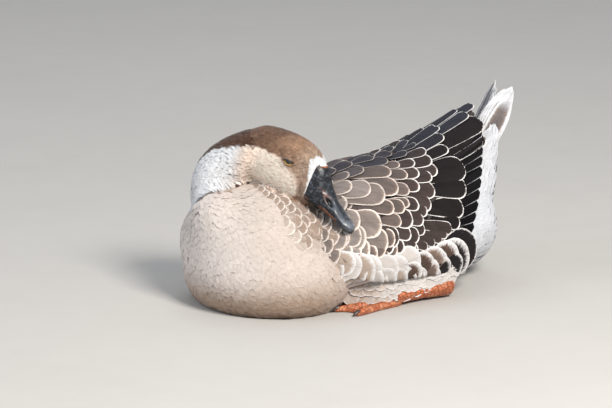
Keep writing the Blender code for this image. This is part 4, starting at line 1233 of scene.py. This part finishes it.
def shape_bill(name, upper):
    """One half of the bill: its slit, nail and lip pressed into the mesh, and its paints."""
    piece = remeshed(name, (name,), HORN_VOXEL, 2)
    points = rows_of(piece.data, piece.data.vertices, "co", 3)
    normals = unit(rows_of(piece.data, piece.data.vertices, "normal", 3))
    h = in_head(points)
    out = normals @ HEAD_AXES.T
    x, y, z = h.T
    mouth = np.interp(x, *np.transpose(MOUTH_LINE))
    near_base = 1 - ramp(-behind_bill(h), 0.0005, 0.003)
    h[:, 0] -= 0.003 * near_base
    along = (x - NOSTRIL[0]) * NOSTRIL_LINE[0] + (z - NOSTRIL[2]) * NOSTRIL_LINE[1]
    across = (z - NOSTRIL[2]) * NOSTRIL_LINE[0] - (x - NOSTRIL[0]) * NOSTRIL_LINE[1]
    ring = np.hypot(along / NOSTRIL_HALF[0], across / NOSTRIL_HALF[1])
    slit = (1 - ramp(ring, 0.35, 1.15)) * (np.abs(out[:, 1]) > 0.25) * upper
    rim = np.exp(-((ring - 1.5) / 0.35) ** 2) * (np.abs(out[:, 1]) > 0.2) * upper
    nail = ramp(x, 0.0605, 0.0640) * (1 - ramp(np.abs(y), 0.0060, 0.0085)) * (out[:, 2] > -0.2) * upper
    lip = np.exp(-((z - mouth - 0.0026 * (1 if upper else -1)) / 0.0011) ** 2) * ramp(x, 0.004, 0.012)
    wrinkle = mottle(np.stack([x * 0.35, y, z], 1), 0.0016, 21) * 0.00010
    push = -NOSTRIL_DEEP * slit + 0.00045 * rim + 0.00055 * nail - 0.00040 * lip + wrinkle
    h = h + out * push[:, None]
    piece.data.vertices.foreach_set("co", from_head(h).astype(np.float32).ravel())
    piece.data.update()
    piece.data.shade_smooth()
    cloud = ramp(0.6 * mottle(points, 0.0045, 22) + 0.9 * mottle(points, 0.0016, 24), -0.1, 1.0)
    # Painted highlight: the slate takes the pale sheen in clouds and in a streak along each side of the
    # ridge, where the bill faces up.
    worn_or_sheen = np.exp(-((np.abs(y) - 0.0062) / 0.0034) ** 2) * ramp(x, 0.022, 0.040) * ramp(out[:, 2], 0.1, 0.6)
    tone = mix(BILL_SLATE, BILL_SHEEN, np.clip(cloud * 0.55 + worn_or_sheen * 0.55, 0, 1))
    nail_share = (nail * 0.45 + ramp(x, 0.052, 0.070) * 0.3) * (0.6 + 0.8 * cloud)
    tone = mix(tone, BILL_NAIL, np.clip(nail_share, 0, 1))
    pink = np.exp(-(((x - 0.023) / 0.0062) ** 2 + ((z + 0.0004 + (x - 0.023) * 0.36) / 0.0011) ** 2)) * upper
    pink = pink * ramp(mottle(points, 0.002, 25), -0.5, 0.3)
    tone = mix(tone, BILL_PINK, pink * 0.75)
    glow = np.exp(-((ring - 1.25) / 0.22) ** 2) * ramp(-(x - NOSTRIL[0]), -0.001, 0.004) * upper
    tone = mix(tone, BILL_PINK, glow * 0.40 * (np.abs(out[:, 1]) > 0.2))
    edge = np.exp(-((z - mouth - (0.0005 if upper else -0.0012)) / 0.0006) ** 2)
    patchy = ramp(mottle(np.stack([x, y, z], 1), 0.010, 23), -0.25, 0.35)
    tone = mix(tone, BILL_ORANGE, edge * patchy * ramp(x, 0.002, 0.010) * (1 - ramp(x, 0.050, 0.066)) * 0.70)
    ahead = -behind_bill(h)
    feathered = (1 - ramp(ahead, -0.0006, 0.0002)) * ramp(z, 0.012, 0.016) * (np.abs(y) < 0.0060)
    tone = mix(tone, BAND, feathered * upper)
    spot = np.exp(-((ahead - 0.0010) / 0.0010) ** 2 - (y / 0.0058) ** 2) * ramp(z, 0.012, 0.017) * upper
    tone = mix(tone, BILL_ORANGE, spot * 0.9)
    # Painted shade: the nostril slit and the groove along the mouth are darkened to near black.
    tone = mix(tone, BILL_RECESS_SHADE, np.clip(slit * 1.2 + lip * 0.55, 0, 1))
    colour_points(piece.data, "Tone", tone)
    value_points(piece.data, "Gloss", 0.35 * (1 - np.clip(slit * 1.6 + lip, 0, 1)))
    print(name, "has", len(piece.data.polygons), "faces and a mouth line", round(float(mouth.min()), 4))
    return piece


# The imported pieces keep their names, so the new ones are called after what they are.
bill_pieces = {}
for node, upper in (("bill_upper", True), ("bill_lower", False)):
    bill_pieces[node] = shape_bill(node, upper)
    bill_pieces[node].name = node.replace("bill_", "bill_horn_")

# %% [markdown]
# ## Eyes and lids
# A drowsy goose keeps its eyes half shut. Each eye is a ball with a dark pupil and an olive iris. The lids
# are one ring of skin that follows the ball: its inner edge is an almond slit, dark above and yellow below,
# and its outer edge goes under the feathers.

# %% Build the eyes
SLIT_HALF, SLIT_UP, SLIT_DOWN = 0.0069, 0.0023, 0.0018
PUPIL, IRIS, IRIS_RIM = paint(6, 5, 5), paint(88, 76, 34), paint(38, 30, 16)
# The rings of a lid: share of the way out, lift over the ball, and how much painted shade lies in its crease.
LID_RINGS = (
    (0.0, -0.0003, 0), (0.0, 0.0004, 0), (0.03, 0.0007, 0), (0.07, 0.0007, 0), (0.12, 0.0004, 0.2),
    (0.19, 0.0005, 0), (0.30, 0.0004, 0.1), (0.50, 0.0002, 0), (0.75, -0.0002, 0), (1.0, -0.0010, 0),
)
LID_DARK, LID_SKIN, LID_YELLOW = paint(26, 20, 17), paint(120, 92, 74), paint(186, 146, 72)


def grid_piece(name, rings, tones, closed):
    """Rings of points joined into one sheet, with a paint for each point."""
    rings, tones = np.array(rings), np.array(tones)
    count, around = rings.shape[:2]
    base = np.arange(count * around).reshape(count, around)
    after = np.roll(base, -1, axis=1) if closed else base[:, 1:]
    near = base if closed else base[:, :-1]
    faces = np.stack([near[:-1], after[:-1], after[1:], near[1:]], -1).reshape(-1, 4)
    mesh = bpy.data.meshes.new(name)
    mesh.from_pydata(rings.reshape(-1, 3).tolist(), [], faces.tolist())
    colour_points(mesh, "Tone", tones.reshape(-1, 3))
    mesh.shade_smooth()
    return link(name, mesh)


BALL_RADIUS, BALL_AHEAD = 0.0070, 0.0020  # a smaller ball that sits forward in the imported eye
EYE_SPOKES, LID_SPOKES = 40, 64  # points round a ring of the ball, and of a lid
LID_REACH = 1.30  # radians from the middle of the slit to a lid's outer edge


def eye_point(axes, w):
    """Unit rays from the eye's centre at angles along and across the slit, in radians."""
    aim, slit, upward = axes
    angle = np.maximum(np.linalg.norm(w, axis=-1), 1e-9)[..., None]
    spoke = (slit * w[..., :1] + upward * w[..., 1:]) / angle
    return aim * np.cos(angle) + spoke * np.sin(angle)


def ball_reach(angle):
    """How far the ball's surface is from the eye's centre, at an angle off the way the eye looks."""
    return BALL_AHEAD * np.cos(angle) + np.sqrt(BALL_RADIUS**2 - (BALL_AHEAD * np.sin(angle)) ** 2)


def build_eye(side, sign):
    """A ball of rings round the way the eye looks, painted from the pupil outwards."""
    axes, centre = eye_axes(sign), np.array(eye_at[side])
    centre = centre + axes[0] * BALL_AHEAD
    turn = np.linspace(0, 2 * math.pi, EYE_SPOKES, endpoint=False)
    around = np.stack([np.cos(turn), np.sin(turn)], -1)
    rings, tones = [], []
    for angle in np.radians(np.concatenate([np.linspace(0.5, 60, 28), np.linspace(66, 179, 14)])):
        rings.append(centre + eye_point(axes, around * angle) * BALL_RADIUS)
        degrees = math.degrees(angle)
        tone = mix(PUPIL, IRIS, ramp(degrees, 21, 25))
        tones.append(np.tile(mix(tone, IRIS_RIM, ramp(degrees, 40, 58)), (EYE_SPOKES, 1)))
    return grid_piece("eyeball_" + side, rings, tones, True)


def build_lids(side, sign):
    """A ring of skin from the almond slit outwards, that follows the ball."""
    axes, centre = eye_axes(sign), np.array(eye_at[side])
    turn = np.linspace(0, 2 * math.pi, LID_SPOKES, endpoint=False)
    across, over = np.cos(turn), np.sin(turn)
    slit_height = np.where(over > 0, SLIT_UP, SLIT_DOWN) * over * (0.75 + 0.25 * over**2)
    inner = np.stack([SLIT_HALF * across, slit_height], -1) / EYE_RADIUS
    outer = LID_REACH * np.stack([across, over], -1)
    upper = ramp(over, -0.15, 0.15)
    rings, tones = [], []
    for share, lift, crease_shade in LID_RINGS:
        brow = 0.0004 * upper * (share > 0) * (share < 0.25)
        spread = inner + (outer - inner) * share
        reach = ball_reach(np.linalg.norm(spread, axis=1)) + lift + brow
        rings.append(centre + eye_point(axes, spread) * reach[:, None])
        lower = mix(LID_YELLOW, LID_SKIN, ramp(share, 0.02, 0.09))
        tone = mix(lower + np.zeros((LID_SPOKES, 3)), mix(LID_DARK, LID_SKIN, ramp(share, 0.11, 0.24)), upper)
        # Painted shade: the creases of the lid are darkened towards the dark lid paint.
        tones.append(mix(tone, LID_DARK, np.full(LID_SPOKES, crease_shade * 0.8)))
    return grid_piece("eyelids_" + side, rings, tones, True)


eyeballs = {side: build_eye(side, sign) for side, sign in (("left", 1), ("right", -1))}
eyelids = {side: build_lids(side, sign) for side, sign in (("left", 1), ("right", -1))}
print("slit in mm:", 2000 * SLIT_HALF, "by", 1000 * (SLIT_UP + SLIT_DOWN))

# %% [markdown]
# ## Legs and feet
# The bare shank and the foot are orange skin in scales: broad plates across the front of the shank and the
# tops of the toes, and small round scales elsewhere. The plates are pressed into the mesh and the small
# scales are bump.

# %% Scale the legs
LEG_ORANGE, LEG_PALE, LEG_DEEP = paint(190, 108, 70), paint(222, 158, 120), paint(112, 54, 32)
CLAW_HORN = paint(70, 58, 52)
HOCK, TOE_JOINT = np.array([0.074, -0.103, 0.0125]), np.array([0.0, -0.105, 0.0])
TOE_LENGTHS, TOE_ANGLES = (0.066, 0.074, 0.064), (-16, 8, 31)
PLATE = 0.0060  # one plate of the shank or a toe, from edge to edge
LEG_VOXEL = 0.0011
CLAW_LENGTH, CLAW_RADIUS, CLAW_HEIGHT, CLAW_DROP, CLAW_SPOKES = 0.0090, 0.0025, 0.0050, 0.0036, 12


def plates(distance, strength):
    """A saw of rounded plates along a distance: 0 in the joints and 1 on the plates."""
    share = (distance / PLATE) % 1.0
    return strength * (ramp(share, 0.0, 0.30) - ramp(share, 0.88, 1.0))


def scaled_leg(side, sign):
    """The shank and the foot of one side as one skin, with plates across the fronts of both."""
    nodes = ("shank_" + side, "foot_" + side)
    piece = remeshed("leg_skin_" + side, nodes, LEG_VOXEL, 7)
    points = rows_of(piece.data, piece.data.vertices, "co", 3)
    normals = unit(rows_of(piece.data, piece.data.vertices, "normal", 3))
    own = (points - ZERO) * np.array([1, -sign, 1])
    shank, foot = (tree_of(node) for node in nodes)
    on_shank = np.array([shank.find_nearest(p)[3] < foot.find_nearest(p)[3] for p in points.tolist()])
    way = unit(TOE_JOINT - HOCK)
    along_shank = (own - HOCK) @ way
    along_toes, best = np.zeros(len(own)), np.full(len(own), FAR)
    for length, angle in zip(TOE_LENGTHS, TOE_ANGLES):
        way = np.array([-math.cos(math.radians(angle)), math.sin(math.radians(angle)), 0])
        along = (own - TOE_JOINT) @ way
        off = np.linalg.norm((own - TOE_JOINT)[:, :2] - along[:, None] * way[:2], axis=1)
        along_toes, best = np.where(off < best, along, along_toes), np.minimum(off, best)
    run = np.where(on_shank, along_shank, along_toes)
    on_toes = ramp(normals[:, 2], 0.0, 0.6) * (1 - ramp(best, 0.0035, 0.0055))
    top = np.where(on_shank, ramp(normals[:, 2], -0.3, 0.4), on_toes)
    plate = plates(run + mottle(points, 0.007, 31) * 0.0016, top)
    points = points + normals * (plate * 0.0006)[:, None]
    points[:, 2] = np.maximum(points[:, 2], 0)
    piece.data.vertices.foreach_set("co", points.astype(np.float32).ravel())
    piece.data.update()
    piece.data.shade_smooth()
    tone = mix(LEG_DEEP, LEG_ORANGE, 0.30 + 0.70 * np.clip(plate + (1 - top) * 0.6, 0, 1))
    tone = mix(tone, LEG_PALE, ramp(mottle(points, 0.005, 32), 0.0, 0.9) * 0.6)
    colour_points(piece.data, "Tone", tone)
    return piece


def build_claws(side, sign):
    """Three short blunt claws that leave the toes and bend down to the floor."""
    pieces = []
    around = np.linspace(0, 2 * math.pi, CLAW_SPOKES, endpoint=False)[:, None]
    for number, (length, angle) in enumerate(zip(TOE_LENGTHS, TOE_ANGLES)):
        turn = math.radians(angle)
        way = np.array([-math.cos(turn), -sign * math.sin(turn), 0.0])
        start = ZERO + np.array([TOE_JOINT[0], -sign * TOE_JOINT[1], 0]) + way * (length - 0.004)
        across = np.array([-way[1], way[0], 0])
        rings, tones = [], []
        for share in np.linspace(0, 1, 9):
            height = np.array([0, 0, CLAW_HEIGHT - CLAW_DROP * share**1.6])
            spot = start + way * CLAW_LENGTH * share + height
            radius = CLAW_RADIUS * (1 - share**2.2) + 0.0003
            rings.append(spot + (across * np.cos(around) + np.array([0, 0, 0.8]) * np.sin(around)) * radius)
            tones.append(np.tile(CLAW_HORN * (1 - 0.4 * share), (CLAW_SPOKES, 1)))
        pieces.append(grid_piece(f"claw_{side}_{number}", rings, tones, True))
    return pieces


legs, claws = {}, {}
for side, sign in (("left", -1), ("right", 1)):
    legs[side] = scaled_leg(side, sign)
    claws[side] = build_claws(side, sign)
print("leg faces:", sum(len(leg.data.polygons) for leg in legs.values()))

# %% [markdown]
# ## Materials
# All feathers share one pattern, so it is a node group: it takes a blade's own paint, edge paint and
# distances, and gives back the finished colour and a fine height of barbs. Barbs leave the shaft at a
# slant, and the pale fringe is a little ragged where barbs have parted. Inside the fringe runs a warmer
# ring, and broad clouds make each feather a little unlike the next. The other finishes are built from a
# small mottle group.

# %% Node helpers and the two shared groups
def add(tree, kind, settings=(), links=()):
    """A node with its settings, and its inputs filled by values or by other nodes' outputs."""
    made = tree.nodes.new(kind)
    for key, value in dict(settings).items():
        setattr(made, key, value)
    for key, value in dict(links).items():
        if isinstance(value, bpy.types.NodeSocket):
            tree.links.new(value, made.inputs[key])
        else:
            made.inputs[key].default_value = value
    return made


def maths(tree, operation, first, second=0.0):
    return add(tree, "ShaderNodeMath", {"operation": operation}, {0: first, 1: second}).outputs[0]


def blend(tree, share, first, second, how="MIX"):
    kind = {"data_type": "RGBA", "blend_type": how}
    return add(tree, "ShaderNodeMix", kind, {0: share, 6: first, 7: second}).outputs[2]


def soft_step(tree, value, low, high, start=0.0, stop=1.0):
    """Goes softly from start to stop while the value goes from low to high."""
    return add(tree, "ShaderNodeMapRange", {"interpolation_type": "SMOOTHSTEP"},
               {"Value": value, "From Min": low, "From Max": high, "To Min": start,
                "To Max": stop}).outputs[0]


def noise(tree, place, scale, detail):
    return add(tree, "ShaderNodeTexNoise", links={"Vector": place, "Scale": scale,
                                                  "Detail": detail}).outputs[0]


def new_group(name, inputs, outputs):
    """An empty node group with its named sockets."""
    group = bpy.data.node_groups.new(name, "ShaderNodeTree")
    for label, kind, value in inputs:
        socket = group.interface.new_socket(name=label, in_out="INPUT", socket_type=kind)
        if value is not None:
            socket.default_value = value
    for label, kind in outputs:
        group.interface.new_socket(name=label, in_out="OUTPUT", socket_type=kind)
    return group, group.nodes.new("NodeGroupInput").outputs, group.nodes.new("NodeGroupOutput").inputs


def build_vane_pattern():
    """Colour and barb height of a feather, from its own places in centimetres."""
    tree, given, result = new_group(
        "vane pattern",
        [("Tone", "NodeSocketColor", None), ("Edge", "NodeSocketColor", None),
         ("Rim", "NodeSocketFloat", 5.0), ("Fringe", "NodeSocketFloat", 1.0),
         ("Place", "NodeSocketVector", None), ("Barbs", "NodeSocketFloat", 9.0),
         ("Ragged", "NodeSocketFloat", 0.5), ("Clouds", "NodeSocketFloat", 0.3)],
        [("Color", "NodeSocketColor"), ("Height", "NodeSocketFloat")],
    )
    place = add(tree, "ShaderNodeSeparateXYZ", links={0: given["Place"]}).outputs
    off_shaft = maths(tree, "ABSOLUTE", place["X"])
    barb = maths(tree, "SUBTRACT", place["Y"], maths(tree, "MULTIPLY", off_shaft, 1.15))
    barb_place = add(tree, "ShaderNodeCombineXYZ", links={"X": maths(tree, "MULTIPLY", place["X"], 0.7),
                                                          "Y": maths(tree, "MULTIPLY", barb, 5.0)}).outputs[0]
    rough = noise(tree, barb_place, 3.0, 3.0)
    rough = maths(tree, "SUBTRACT", rough, 0.5)
    ridge = maths(tree, "MULTIPLY", maths(tree, "MULTIPLY", barb, given["Barbs"]), 6.2832)
    ridge = maths(tree, "SINE", ridge)
    ragged = maths(tree, "MULTIPLY", maths(tree, "MULTIPLY", rough, given["Ragged"]), 3.0)
    width = maths(tree, "MULTIPLY", given["Fringe"], maths(tree, "ADD", ragged, 1.0))
    inner = soft_step(tree, given["Rim"], maths(tree, "MULTIPLY", width, 0.62),
                      maths(tree, "MULTIPLY", width, 1.25))
    shaft = soft_step(tree, off_shaft, 0.02, 0.06, 0.80, 1.0)
    line = soft_step(tree, given["Rim"], maths(tree, "MULTIPLY", given["Fringe"], 0.12),
                     maths(tree, "MULTIPLY", given["Fringe"], 0.50), 0.55, 0.0)
    edge = blend(tree, line, given["Edge"], (0.82, 0.81, 0.80, 1))
    warm = soft_step(tree, given["Rim"], width, maths(tree, "MULTIPLY", width, 2.4), 0.55, 0.0)
    lighter = blend(tree, 1.0, given["Tone"], (2.3, 1.85, 1.6, 1), "MULTIPLY")
    lighter = blend(tree, 1.0, lighter, (0.30, 0.235, 0.19, 1), "DARKEN")
    lighter = blend(tree, 1.0, lighter, given["Tone"], "LIGHTEN")
    warmed = blend(tree, warm, given["Tone"], lighter)
    colour = blend(tree, inner, edge, warmed)
    streak = maths(tree, "ADD", maths(tree, "MULTIPLY", rough, 0.42), 1.0)
    streak = maths(tree, "MULTIPLY", streak, maths(tree, "ADD", maths(tree, "MULTIPLY", ridge, 0.02), 0.99))
    streak = maths(tree, "MULTIPLY", streak, shaft)
    on_bird = add(tree, "ShaderNodeTexCoord").outputs["Object"]
    on_bird = add(tree, "ShaderNodeVectorMath", {"operation": "SCALE"},
                  {0: on_bird, "Scale": 60.0}).outputs[0]
    on_bird = add(tree, "ShaderNodeVectorMath", {"operation": "ADD"},
                  {0: on_bird, 1: given["Place"]}).outputs[0]
    broad = noise(tree, on_bird, 0.8, 3.0)
    broad = maths(tree, "ADD", maths(tree, "MULTIPLY", broad, given["Clouds"]), 1.0)
    broad = maths(tree, "SUBTRACT", broad, maths(tree, "MULTIPLY", given["Clouds"], 0.5))
    streak = maths(tree, "MULTIPLY", streak, broad)
    grey = add(tree, "ShaderNodeCombineColor", links={0: streak, 1: streak, 2: streak}).outputs[0]
    tree.links.new(blend(tree, 1.0, colour, grey, "MULTIPLY"), result["Color"])
    tree.links.new(maths(tree, "ADD", ridge, maths(tree, "MULTIPLY", rough, 2.0)), result["Height"])
    return tree


def build_mottle():
    """A painted tone broken up by two sizes of cloud."""
    tree, given, result = new_group(
        "mottle",
        [("Tone", "NodeSocketColor", None), ("Place", "NodeSocketVector", None),
         ("Scale", "NodeSocketFloat", 200.0), ("Amount", "NodeSocketFloat", 0.2)],
        [("Color", "NodeSocketColor"), ("Height", "NodeSocketFloat"), ("Cloud", "NodeSocketFloat")],
    )
    fine = noise(tree, given["Place"], given["Scale"], 4.0)
    wide = noise(tree, given["Place"], maths(tree, "MULTIPLY", given["Scale"], 0.22), 2.0)
    cloud = maths(tree, "ADD", fine, wide)
    change = maths(tree, "MULTIPLY", maths(tree, "SUBTRACT", cloud, 1.0), given["Amount"])
    change = maths(tree, "ADD", change, 1.0)
    grey = add(tree, "ShaderNodeCombineColor", links={0: change, 1: change, 2: change}).outputs[0]
    tree.links.new(blend(tree, 1.0, given["Tone"], grey, "MULTIPLY"), result["Color"])
    tree.links.new(fine, result["Height"])
    tree.links.new(cloud, result["Cloud"])
    return tree


vane_pattern, mottle_group = build_vane_pattern(), build_mottle()
print("shared groups:", vane_pattern.name, "and", mottle_group.name)

# %% [markdown]
# Body feathers are matt, flight feathers have a low shine, and the bill, the eyes and the legs each have
# their own gloss. A number that is the same all over a piece is set straight on the shader.

# %% The finishes
def start_material(name, roughness):
    material = bpy.data.materials.new(name)
    material.use_nodes = True
    tree = material.node_tree
    shader = tree.nodes["Principled BSDF"]
    shader.inputs["Roughness"].default_value = roughness
    return material, tree, shader


def bump(tree, shader, height, strength, distance):
    made = add(tree, "ShaderNodeBump", links={"Height": height, "Strength": strength, "Distance": distance})
    tree.links.new(made.outputs[0], shader.inputs["Normal"])


def attribute(tree, name, output):
    return add(tree, "ShaderNodeAttribute", {"attribute_name": name}).outputs[output]


def feather_finish(name, roughness, barbs, ragged, strength, sheen, clouds):
    material, tree, shader = start_material(name, roughness)
    pattern = add(tree, "ShaderNodeGroup", {"node_tree": vane_pattern}, {
        "Tone": attribute(tree, "Tone", "Color"), "Edge": attribute(tree, "Edge", "Color"),
        "Rim": attribute(tree, "Rim", "Fac"), "Fringe": attribute(tree, "Fringe", "Fac"),
        "Place": add(tree, "ShaderNodeUVMap", {"uv_map": "Vane"}).outputs[0],
        "Barbs": barbs, "Ragged": ragged, "Clouds": clouds})
    tree.links.new(pattern.outputs["Color"], shader.inputs["Base Color"])
    bump(tree, shader, pattern.outputs["Height"], strength, 0.0002)
    shader.inputs["Sheen Weight"].default_value = sheen
    shader.inputs["Sheen Roughness"].default_value = 0.5
    shader.inputs["Specular IOR Level"].default_value = 0.10
    return material


def mottled_finish(name, roughness, scale, amount, strength, distance, coat=0.0, glossy=False):
    material, tree, shader = start_material(name, roughness)
    place = add(tree, "ShaderNodeTexCoord").outputs["Object"]
    mottled = add(tree, "ShaderNodeGroup", {"node_tree": mottle_group}, {
        "Tone": attribute(tree, "Tone", "Color"), "Place": place, "Scale": scale, "Amount": amount})
    tree.links.new(mottled.outputs["Color"], shader.inputs["Base Color"])
    bump(tree, shader, mottled.outputs["Height"], strength, distance)
    shader.inputs["Coat Weight"].default_value = coat
    shader.inputs["Coat Roughness"].default_value = 0.25 if glossy else 0.12
    if glossy:
        shader.inputs["Specular IOR Level"].default_value = 0.30
        tree.links.new(attribute(tree, "Gloss", "Fac"), shader.inputs["Coat Weight"])
    return material


def scale_finish():
    """The skin of the legs: rounded scales with dark joints, over the painted plates."""
    material, tree, shader = start_material("leg scales", 0.5)
    place = add(tree, "ShaderNodeTexCoord").outputs["Object"]
    cells = add(tree, "ShaderNodeTexVoronoi", {"feature": "DISTANCE_TO_EDGE"},
                {"Vector": place, "Scale": 230.0})
    joint = soft_step(tree, cells.outputs["Distance"], 0.0, 0.16)
    dark = maths(tree, "ADD", maths(tree, "MULTIPLY", joint, 0.42), 0.62)
    grey = add(tree, "ShaderNodeCombineColor", links={0: dark, 1: dark, 2: dark}).outputs[0]
    tone = blend(tree, 1.0, attribute(tree, "Tone", "Color"), grey, "MULTIPLY")
    mottled = add(tree, "ShaderNodeGroup", {"node_tree": mottle_group}, {
        "Tone": tone, "Place": place, "Scale": 900.0, "Amount": 0.35})
    tree.links.new(mottled.outputs["Color"], shader.inputs["Base Color"])
    height = maths(tree, "ADD", joint, maths(tree, "MULTIPLY", mottled.outputs["Height"], 0.3))
    bump(tree, shader, height, 0.8, 0.0008)
    return material


def plain_finish(name, tone, roughness, scale, amount, distance):
    """One tone all over, broken up by clouds."""
    material, tree, shader = start_material(name, roughness)
    place = add(tree, "ShaderNodeTexCoord").outputs["Object"]
    mottled = add(tree, "ShaderNodeGroup", {"node_tree": mottle_group}, {
        "Tone": (*tone, 1), "Place": place, "Scale": scale, "Amount": amount})
    tree.links.new(mottled.outputs["Color"], shader.inputs["Base Color"])
    bump(tree, shader, mottled.outputs["Height"], 0.5, distance)
    return material


down = feather_finish("body feathers", 0.85, 17.0, 0.5, 0.12, 0.15, 0.25)
vane = feather_finish("wing vanes", 0.55, 17.0, 0.5, 0.20, 0.0, 0.9)
plume = feather_finish("soft plumes", 0.85, 14.0, 1.3, 0.15, 0.1, 0.35)
finish_by_name = {"wing": vane, "tail": vane, "flank_plumes": plume, "leg_fluff": plume, "shoulder": plume}
skin_finish = mottled_finish("down skin", 0.9, 500.0, 0.35, 0.6, 0.0008)
horn = mottled_finish("bill horn", 0.40, 1300.0, 0.60, 0.60, 0.0003, 0.2, True)
eye_gloss = mottled_finish("eye", 0.12, 2500.0, 0.5, 0.05, 0.0001, 1.0)
lid_finish = mottled_finish("lid skin", 0.5, 2600.0, 0.3, 0.5, 0.0002)
leg_finish = scale_finish()
claw_finish = mottled_finish("claw horn", 0.35, 1500.0, 0.3, 0.3, 0.0002, 0.2)
for piece in coats.values():
    finish = next((f for start, f in finish_by_name.items() if piece.name.startswith(start)), down)
    piece.data.materials.append(finish)
skin.data.materials.append(skin_finish)
dark_lining = plain_finish("wing lining", paint(52, 44, 42), 0.8, 260.0, 0.5, 0.001)
floor_mesh.materials.append(plain_finish("pale floor", (0.50, 0.485, 0.46), 0.9, 26.0, 0.06, 0.0002))
for lining in linings.values():
    lining.data.materials.append(dark_lining)
for piece in bill_pieces.values():
    piece.data.materials.append(horn)
for side in ("left", "right"):
    eyeballs[side].data.materials.append(eye_gloss)
    eyelids[side].data.materials.append(lid_finish)
    for claw in claws[side]:
        claw.data.materials.append(claw_finish)
for leg in legs.values():
    leg.data.materials.append(leg_finish)
print("finishes:", len(bpy.data.materials))

# %% [markdown]
# ## Join the looks to the imported goose
# Every piece rides on the one body of this still model, and the imported solids that a piece stands for are
# hidden.

# %% Ride and replace
def join(piece, slot, *nodes):
    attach(piece, "root")
    if nodes:
        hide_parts(*nodes)


join(skin, "body_plumage", *FLESH)
join(coats["head_feathers"], "head_plumage")
join(coats["nape_feathers"], "neck_plumage")
join(coats["neck_feathers"], "neck_plumage")
join(coats["breast_feathers"], "breast_plumage")
join(coats["shoulder_feathers"], "body_plumage")
for name in ("flank_feathers", "vent_feathers", "belly_feathers"):
    join(coats[name], "body_plumage")
join(coats["tail_feathers"], "tail_plumage", "tail")
for side in ("left", "right"):
    join(coats["wing_feathers_" + side], "wing_plumage")
    join(coats["flank_plumes_" + side], "body_plumage")
    join(coats["leg_fluff_" + side], "body_plumage")
    join(linings[side], "flight_plumage", "flight_feathers_" + side)
    join(eyeballs[side], "eye", "eye_" + side)
    join(eyelids[side], "eye")
    for claw in claws[side]:
        join(claw, "leg_skin")
for node, piece in bill_pieces.items():
    join(piece, "bill_horn", node)
for side, piece in legs.items():
    join(piece, "leg_skin", "shank_" + side, "foot_" + side)

bpy.context.view_layer.update()
